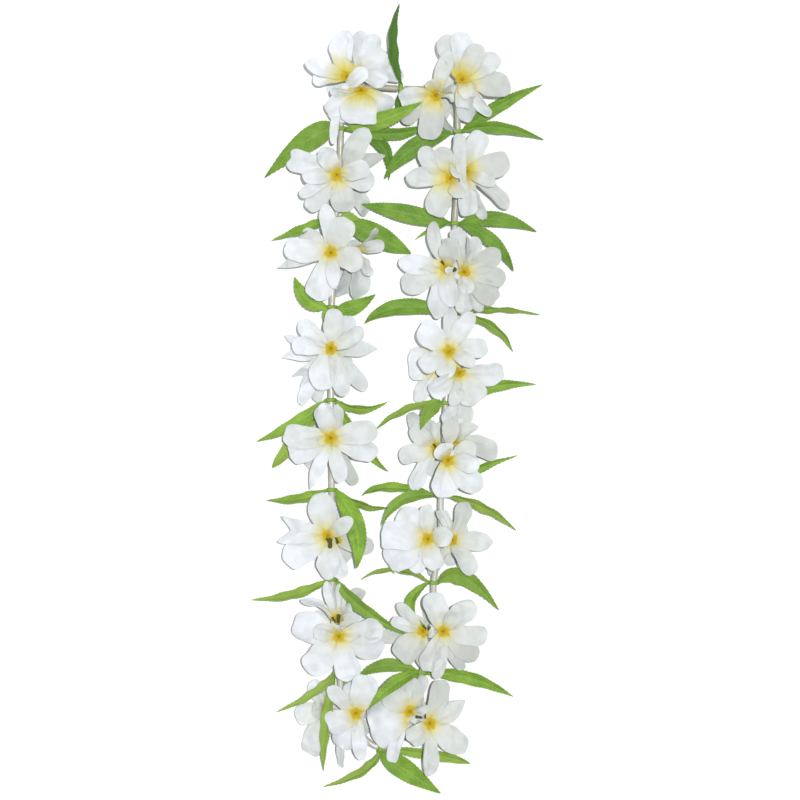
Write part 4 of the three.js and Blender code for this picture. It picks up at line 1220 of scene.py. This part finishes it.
def leaf(sewing, root, middle, tip, width, roll, shade, draws):
    """A serrated leaf with a sunk midrib and raised side veins."""
    length = np.linalg.norm(middle - root) + np.linalg.norm(tip - middle)
    teeth = max(LEAST_TEETH, round(length / TOOTH_PITCH))
    out = np.linspace(0, 1, ROWS_A_TOOTH * teeth + 1)
    spine, tangents = leaf_spine(root, middle, tip, out)
    acrosses, ups = leaf_sides(tangents, roll)
    half = leaf_outline(out, width)
    side = np.linspace(-1, 1, LEAF_COLUMNS)[None, :]
    x = side * half
    run = (out * length)[:, None]
    z = leaf_veins(x, run, out) + leaf_waves(side, run, half / width * 2, draws)
    sway = draws.uniform(-1, 1) * LEAF_SWAY * length * np.sin(math.pi * out)[:, None]
    grid = spine[:, None, :] + (x + sway)[..., None] * acrosses + z[..., None] * ups
    grid[..., 2] = np.maximum(grid[..., 2], FLOOR_CLEAR)
    place = np.stack([x, run + 0 * x, np.full_like(x, draws.random())], axis=-1)
    paint = np.stack([out[:, None] + 0 * x, np.full_like(x, shade), np.ones_like(x)], axis=-1)
    blade(sewing, grid, LEAF_CLOTH, place, paint)


def whorl(name, place, leaves):
    """The leaves of a whorl and the hub ring that they grow from."""
    sewing = Sewing()
    hub = route.point(place)
    tangent = route.tangent(place)
    half = HUB_LENGTH / 2
    sleeve(sewing, place - half, place + half, HUB_RADIUS, HUB_BORE, HUB_SIDES)
    for number, (middle, tip, width, roll) in enumerate(leaves):
        middle = np.array(middle, float)
        root = hub + square_to(middle, tangent) * HUB_WALL_MIDDLE
        draws = random.Random(f"{name} leaf {number}")
        shade = LEAF_SHADES[name][number]
        tip = hub + np.array(tip, float) * LEAF_REACH
        leaf(sewing, root, hub + middle, tip, width, roll, shade, draws)
    return sewing


# Tubes and string

def tube_stretches():
    """The stretches of string that spacer tubes cover: core to core, and one each side of the knot."""
    stops = [route.places[at] for at, _ in BLOOMS.values()]
    half = CORE_LENGTH / 2 + END_GAP
    stretches = [(KNOT_ROOM / 2, stops[0] - half)]
    stretches += [(here + half, there - half) for here, there in zip(stops, stops[1:])]
    stretches.append((stops[-1] + half, route.length - KNOT_ROOM / 2))
    return stretches


def string_loop():
    """Two plies twisted together all the way round the loop, with a small knot where the ends meet."""
    sewing = Sewing()
    count = round(route.length / STRING_STEP)
    twists = round(route.length / PLY_PITCH)
    points = []
    place = []
    for i in range(count):
        at = route.length * i / count
        centre = route.point(at)
        side = square_to(np.array(UP, float), route.tangent(at))
        other = np.cross(route.tangent(at), side)
        ply = 2 * math.pi * twists * i / count
        for k in range(STRING_SIDES):
            angle = 2 * math.pi * k / STRING_SIDES
            radius = STRING_RADIUS * (1 - PLY_GROOVE * math.sin(angle - ply) ** 2)
            points.append(centre + radius * around(side, other, angle))
            place.append((angle * STRING_RADIUS, at, PLAIN_DRAW))
    faces = skin(count, STRING_SIDES, closed=True)
    sewing.add(np.array(points), faces, np.array(place), np.ones((len(points), 3)))
    knot(sewing)
    return sewing


def knot(sewing):
    """A small three-lobed knot round the start of the route."""
    middle = route.point(0)
    turns = np.linspace(0, 2 * math.pi, KNOT_STEPS, endpoint=False)
    path = KNOT_SIZE * np.column_stack([
        np.sin(turns) + 2 * np.sin(2 * turns),
        np.cos(turns) - 2 * np.cos(2 * turns),
        -np.sin(3 * turns),
    ])
    headings = np.roll(path, -1, axis=0) - np.roll(path, 1, axis=0)
    stations = [(middle + point, unit(heading), KNOT_CORD) for point, heading in zip(path, headings)]
    turned_body(sewing, stations, STRING_SIDES, PLAIN_DRAW, closed=True)


# Materials

class Board:
    """A node tree being wired: it adds nodes and joins their sockets."""

    def __init__(self, tree):
        self.tree = tree

    def feed(self, socket, value):
        """Joins a socket to another, or sets its value."""
        if isinstance(value, bpy.types.NodeSocket):
            self.tree.links.new(value, socket)
        else:
            socket.default_value = value

    def add(self, kind, settings=None, **sockets):
        """A node with its settings made and its sockets fed; an underscore stands for a space."""
        node = self.tree.nodes.new("ShaderNode" + kind)
        for key, value in (settings or {}).items():
            setattr(node, key, value)
        for label, value in sockets.items():
            self.feed(node.inputs[label.replace("_", " ")], value)
        return node

    def math(self, operation, first, second=0.0):
        """The result of a sum on one or two values."""
        node = self.add("Math", {"operation": operation})
        self.feed(node.inputs[0], first)
        self.feed(node.inputs[1], second)
        return node.outputs[0]

    def remap(self, value, low, high, to_low=0.0, to_high=1.0):
        """A value eased from one range to another, and held at its ends."""
        node = self.add(
            "MapRange",
            {"interpolation_type": "SMOOTHSTEP"},
            Value=value,
            From_Min=low,
            From_Max=high,
            To_Min=to_low,
            To_Max=to_high,
        )
        return node.outputs["Result"]

    def blend(self, share, first, second):
        """The first colour turned into the second by a share."""
        node = self.add("Mix", {"data_type": "RGBA"})
        sockets = {socket.identifier: socket for socket in node.inputs}
        self.feed(sockets["Factor_Float"], share)
        self.feed(sockets["A_Color"], first)
        self.feed(sockets["B_Color"], second)
        return next(socket for socket in node.outputs if socket.identifier == "Result_Color")

    def group(self, tree, **sockets):
        """The outputs of a shared effect."""
        return self.add("Group", {"node_tree": tree}, **sockets).outputs

    def vector(self, label):
        """What a mesh keeps for each point under a label."""
        return self.add("Attribute", {"attribute_name": label}).outputs["Vector"]

    def read(self, label):
        """The same, as its three parts."""
        return self.add("SeparateXYZ", Vector=self.vector(label)).outputs


def effect(name, inputs, outputs):
    """A node group with named sockets: each input is a kind and a value, each output a kind."""
    tree = bpy.data.node_groups.new(name, "ShaderNodeTree")
    for label, (kind, value) in inputs.items():
        socket = tree.interface.new_socket(name=label, in_out="INPUT", socket_type="NodeSocket" + kind)
        if value is not None:
            socket.default_value = value
    for label, kind in outputs.items():
        tree.interface.new_socket(name=label, in_out="OUTPUT", socket_type="NodeSocket" + kind)
    board = Board(tree)
    given = tree.nodes.new("NodeGroupInput").outputs
    result = tree.nodes.new("NodeGroupOutput").inputs
    return tree, board, given, result


def weave_effect():
    """Plain weave: threads over and under one another across a cloth's own place."""
    tree, board, given, result = effect(
        "plain_weave",
        {"Place": ("Vector", None), "Thread Pitch": ("Float", PETAL_THREAD)},
        {"Height": "Float"},
    )
    parts = board.add("SeparateXYZ", Vector=given["Place"]).outputs
    turn = board.math("DIVIDE", math.pi, given["Thread Pitch"])
    across = board.math("SINE", board.math("MULTIPLY", parts["X"], turn))
    along = board.math("SINE", board.math("MULTIPLY", parts["Y"], turn))
    crossing = board.math("MULTIPLY", across, along)
    board.feed(result["Height"], board.math("ADD", board.math("MULTIPLY", crossing, 0.5), 0.5))
    return tree


def blade_noise(board, place, across, along, spacing, noise):
    """Noise on a cloth's own place, stretched across and along it, and different on each blade."""
    parts = board.add("SeparateXYZ", Vector=place).outputs
    spot = board.add(
        "CombineXYZ",
        X=board.math("DIVIDE", parts["X"], across),
        Y=board.math("DIVIDE", parts["Y"], along),
        Z=board.math("MULTIPLY", parts["Z"], spacing),
    )
    return board.add("TexNoise", Vector=spot.outputs[0], Scale=1.0, **noise).outputs[0]


def dye_effect():
    """Soft uneven patches in dyed cloth, different on each blade."""
    tree, board, given, result = effect(
        "uneven_dye",
        {"Place": ("Vector", None), "Size": ("Float", PETAL_PATCH)},
        {"Mask": "Float"},
    )
    size = given["Size"]
    noise = blade_noise(board, given["Place"], size, size, PATCH_SPACING, PATCH_NOISE)
    board.feed(result["Mask"], board.remap(noise, *PATCH_EDGE))
    return tree


def streak_effect():
    """Streaks that run from the root of a blade to its tip."""
    across, along = PETAL_STREAK
    tree, board, given, result = effect(
        "long_streaks",
        {"Place": ("Vector", None), "Across": ("Float", across), "Along": ("Float", along)},
        {"Mask": "Float"},
    )
    noise = blade_noise(board, given["Place"], given["Across"], given["Along"], STREAK_SPACING, STREAK_NOISE)
    board.feed(result["Mask"], board.remap(noise, *STREAK_EDGE))
    return tree


WEAVE = weave_effect()
DYE = dye_effect()
STREAKS = streak_effect()


def new_material(name, finish):
    """A material, its board and its shader, with what is the same all over set on the shader's sockets."""
    material = bpy.data.materials.new(name)
    material.use_nodes = True
    shader = material.node_tree.nodes["Principled BSDF"]
    for label, value in finish.items():
        shader.inputs[label].default_value = value
    return material, Board(material.node_tree), shader


def weave(board, place, pitch):
    """The height of a cloth's threads."""
    return board.group(WEAVE, Place=place, Thread_Pitch=pitch)["Height"]


def patches(board, place, size):
    """A mask of uneven dye."""
    return board.group(DYE, Place=place, Size=size)["Mask"]


def long_streaks(board, place, size):
    """A mask of streaks of a size across and along."""
    across, along = size
    return board.group(STREAKS, Place=place, Across=across, Along=along)["Mask"]


def streaked(board, value, streaks, amount):
    """A value that is raised on the streaks and lowered between them."""
    return board.math("ADD", value, board.math("MULTIPLY", board.math("SUBTRACT", streaks, 0.5), amount))


def roughen(board, shader, streaks, roughness):
    """Feeds a shader's roughness, from the smoothest streak to the roughest."""
    board.feed(shader.inputs["Roughness"], board.remap(streaks, 0.0, 1.0, *roughness))


def relief(board, shader, height, depth):
    """Feeds a height, in millimetres of depth, to a shader's normal."""
    bump = board.add("Bump", Strength=1.0, Distance=depth * MM, Height=height)
    board.feed(shader.inputs["Normal"], bump.outputs["Normal"])


def petal_white(board, place, paint):
    """White from bluish to dull by a petal's tone, whose dull end is painted shade, in uneven patches, and
    with painted shade near the throat.
    """
    dye = patches(board, place, PETAL_PATCH)
    cool = board.blend(dye, COOL_WHITE, SOFT_WHITE)
    warm = board.blend(dye, GREEN_WHITE, GREY_WHITE)
    white = board.blend(paint["Y"], cool, warm)
    white = board.blend(board.remap(paint["Y"], *SHADED_TONE), white, DULL_SHADED_WHITE)
    from_root = board.read("cloth_place")["Y"]
    # Painted shade near the throat
    return board.blend(board.remap(from_root, *THROAT_SHADE), white, THROAT_SHADED_WHITE)


def blush(board, colour, paint, streaks):
    """Yellow that spreads from the throat in three shades, less far on the back of a petal."""
    spread = streaked(board, paint["X"], streaks, BLUSH_STREAK)
    spread = board.math("ADD", spread, board.remap(paint["Z"], 0.0, 1.0, BLUSH_BACK, 0.0))
    for reach, shade in BLUSH:
        colour = board.blend(board.remap(spread, *reach), colour, shade)
    return colour


def petal_cloth():
    """White pressed cloth, flushed yellow at the throat."""
    material, board, shader = new_material("petal_cloth", PETAL_FINISH)
    place = board.vector("cloth_place")
    paint = board.read("cloth_paint")
    streaks = long_streaks(board, place, PETAL_STREAK)
    colour = blush(board, petal_white(board, place, paint), paint, streaks)
    board.feed(shader.inputs["Base Color"], colour)
    roughen(board, shader, streaks, PETAL_ROUGHNESS)
    rise = board.math("MULTIPLY", streaks, PETAL_STREAK_RISE)
    relief(board, shader, board.math("ADD", weave(board, place, PETAL_THREAD), rise), PETAL_RELIEF)
    return material


def heart_cloth():
    """Gold star with a darker middle and yellow tips, and dark olive pegs."""
    material, board, shader = new_material("heart_cloth", HEART_FINISH)
    paint = board.read("cloth_paint")
    streaks = long_streaks(board, board.vector("cloth_place"), HEART_STREAK)
    spread = streaked(board, paint["X"], streaks, STAR_STREAK)
    colour = board.blend(board.remap(spread, *STAR_MIDDLE), BROWN_GOLD, GOLD)
    colour = board.blend(board.remap(spread, *STAR_TIPS), colour, WARM_YELLOW)
    peg = board.blend(streaks, DARK_OLIVE, OLIVE)
    colour = board.blend(board.remap(paint["Z"], 0.0, 1.0), peg, colour)
    board.feed(shader.inputs["Base Color"], colour)
    roughen(board, shader, streaks, HEART_ROUGHNESS)
    relief(board, shader, streaks, HEART_RELIEF)
    return material


def leaf_green(board, place, streaks):
    """Uneven green with darker streaks, pale veins and midrib, and some leaves darker than others."""
    across, along, draw = board.read("cloth_place")
    offside = board.math("ABSOLUTE", across)
    run = board.math("SUBTRACT", along, board.math("MULTIPLY", offside, VEIN_SLANT))
    veins = board.math("COSINE", board.math("MULTIPLY", run, 2 * math.pi / VEIN_PITCH))
    colour = board.blend(patches(board, place, LEAF_PATCH), MID_GREEN, LIGHT_GREEN)
    colour = board.blend(board.math("MULTIPLY", streaks, LEAF_STREAK_SHADE), colour, DEEP_GREEN)
    colour = board.blend(board.remap(veins, *VEIN_LINE), colour, VEIN_GREEN)
    colour = board.blend(board.remap(offside, *MIDRIB_LINE), colour, VEIN_GREEN)
    return board.blend(board.remap(draw, *DARKER_LEAF), colour, DEEP_GREEN)


def leaf_cloth():
    """Green satin cloth, embossed with veins, in its whorl's shade and paler behind."""
    material, board, shader = new_material("leaf_cloth", LEAF_FINISH)
    place = board.vector("cloth_place")
    paint = board.read("cloth_paint")
    streaks = long_streaks(board, place, LEAF_STREAK)
    colour = leaf_green(board, place, streaks)
    colour = board.blend(board.math("MULTIPLY", paint["Y"], DEEP_SHARE), colour, DEEP_GREEN)
    colour = board.blend(board.math("MULTIPLY", paint["Y"], PALE_SHARE), colour, PALE_GREEN)
    colour = board.blend(board.remap(paint["Z"], 0.0, 1.0, LEAF_BACK, 0.0), colour, BACK_GREEN)
    board.feed(shader.inputs["Base Color"], colour)
    roughen(board, shader, streaks, LEAF_ROUGHNESS)
    rise = board.math("MULTIPLY", streaks, LEAF_STREAK_RISE)
    relief(board, shader, board.math("ADD", weave(board, place, LEAF_THREAD), rise), LEAF_RELIEF)
    return material


def tube_plastic():
    """Clear plastic tube, yellowed a little and scuffed."""
    material, board, shader = new_material("tube_plastic", TUBE_FINISH)
    place = board.vector("cloth_place")
    streaks = long_streaks(board, place, TUBE_STREAK)
    draw = board.read("cloth_place")["Z"]
    from_middle = board.math("ABSOLUTE", board.math("SUBTRACT", draw, 0.5))
    colour = board.blend(patches(board, place, TUBE_PATCH), TUBE_CREAM, TUBE_GREY)
    colour = board.blend(board.remap(from_middle, *OLDER_TUBE), colour, TUBE_YELLOWED)
    board.feed(shader.inputs["Base Color"], colour)
    roughen(board, shader, streaks, TUBE_ROUGHNESS)
    relief(board, shader, streaks, TUBE_RELIEF)
    return material


def string_thread():
    """Twisted cotton."""
    material, board, shader = new_material("string_thread", THREAD_FINISH)
    streaks = long_streaks(board, board.vector("cloth_place"), THREAD_STREAK)
    board.feed(shader.inputs["Base Color"], board.blend(streaks, THREAD_CREAM, THREAD_SHADE))
    relief(board, shader, streaks, THREAD_RELIEF)
    return material


# Stage, lights and camera

def floor():
    """A plain pale floor."""
    mesh = bpy.data.meshes.new("floor")
    corners = [(-1, -1), (1, -1), (1, 1), (-1, 1)]
    mesh.from_pydata([(FLOOR_REACH * x, FLOOR_REACH * y, 0) for x, y in corners], [], [(0, 1, 2, 3)])
    material, _, _ = new_material("floor_paper", FLOOR_FINISH)
    mesh.materials.append(material)
    piece = bpy.data.objects.new("floor", mesh)
    bpy.context.scene.collection.objects.link(piece)


def softbox(name, place, size, power, colour):
    """A square lamp that faces the middle of the loop."""
    lamp = bpy.data.lights.new(name, "AREA")
    lamp.shape = "SQUARE"
    lamp.size = size
    lamp.energy = power
    lamp.color = colour
    stand = bpy.data.objects.new(name, lamp)
    stand.location = place
    stand.rotation_euler = (-Vector(place)).to_track_quat("-Z", "Y").to_euler()
    bpy.context.scene.collection.objects.link(stand)


def lights():
    """A pale room with a small lamp nearly overhead and a soft one at the left."""
    world = bpy.data.worlds.new("room")
    world.use_nodes = True
    background = world.node_tree.nodes["Background"]
    background.inputs["Color"].default_value = ROOM_COLOUR
    background.inputs["Strength"].default_value = ROOM_STRENGTH
    bpy.context.scene.world = world
    softbox("key", KEY_PLACE, KEY_SIZE, KEY_POWER, KEY_COLOUR)
    softbox("fill", FILL_PLACE, FILL_SIZE, FILL_POWER, FILL_COLOUR)
    bpy.context.scene.view_settings.view_transform = "Standard"


def camera():
    """Straight above the middle of the photograph, with a long lens."""
    lens = bpy.data.cameras.new("camera")
    lens.sensor_width = SENSOR
    lens.lens = SENSOR * (CAMERA_HEIGHT - LOOK_HEIGHT) / VIEW_SPAN
    stand = bpy.data.objects.new("camera", lens)
    stand.location = (VIEW_MIDDLE[0], VIEW_MIDDLE[1], CAMERA_HEIGHT)
    bpy.context.scene.collection.objects.link(stand)
    bpy.context.scene.camera = stand


# The lei

def make_lei():
    """Every piece of the lei, each in place of its plain solid."""
    petals = petal_cloth()
    hearts = heart_cloth()
    greens = leaf_cloth()
    plastic = tube_plastic()
    for name, (at, florets) in BLOOMS.items():
        bloom = bloom_petals(name, route.places[at], florets).finish(f"petals_{name}", petals, "petal_fabric")
        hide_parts(f"bloom_{name}")
        bloom_heart(name, florets).finish(f"heart_{name}", hearts, "petal_fabric")
    for name, (at, leaves) in WHORLS.items():
        green = whorl(name, route.places[at], leaves).finish(f"leaves_{name}", greens, "leaf_fabric")
        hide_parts(f"leaf_whorl_{name}")
    stretches = tube_stretches()
    for number, (start, end) in enumerate(stretches, 1):
        sewing = Sewing()
        draw = number / len(stretches)
        sleeve(sewing, start, end, TUBE_RADIUS, BORE_RADIUS, SLEEVE_SIDES, draw)
        tube = sewing.finish(f"tube_{number}", plastic, "spacer_plastic")
        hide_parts(f"spacer_tube_{number}")
    thread = string_loop().finish("thread", string_thread(), "string_cotton")
    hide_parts("string")


camera()
lights()
floor()
make_lei()
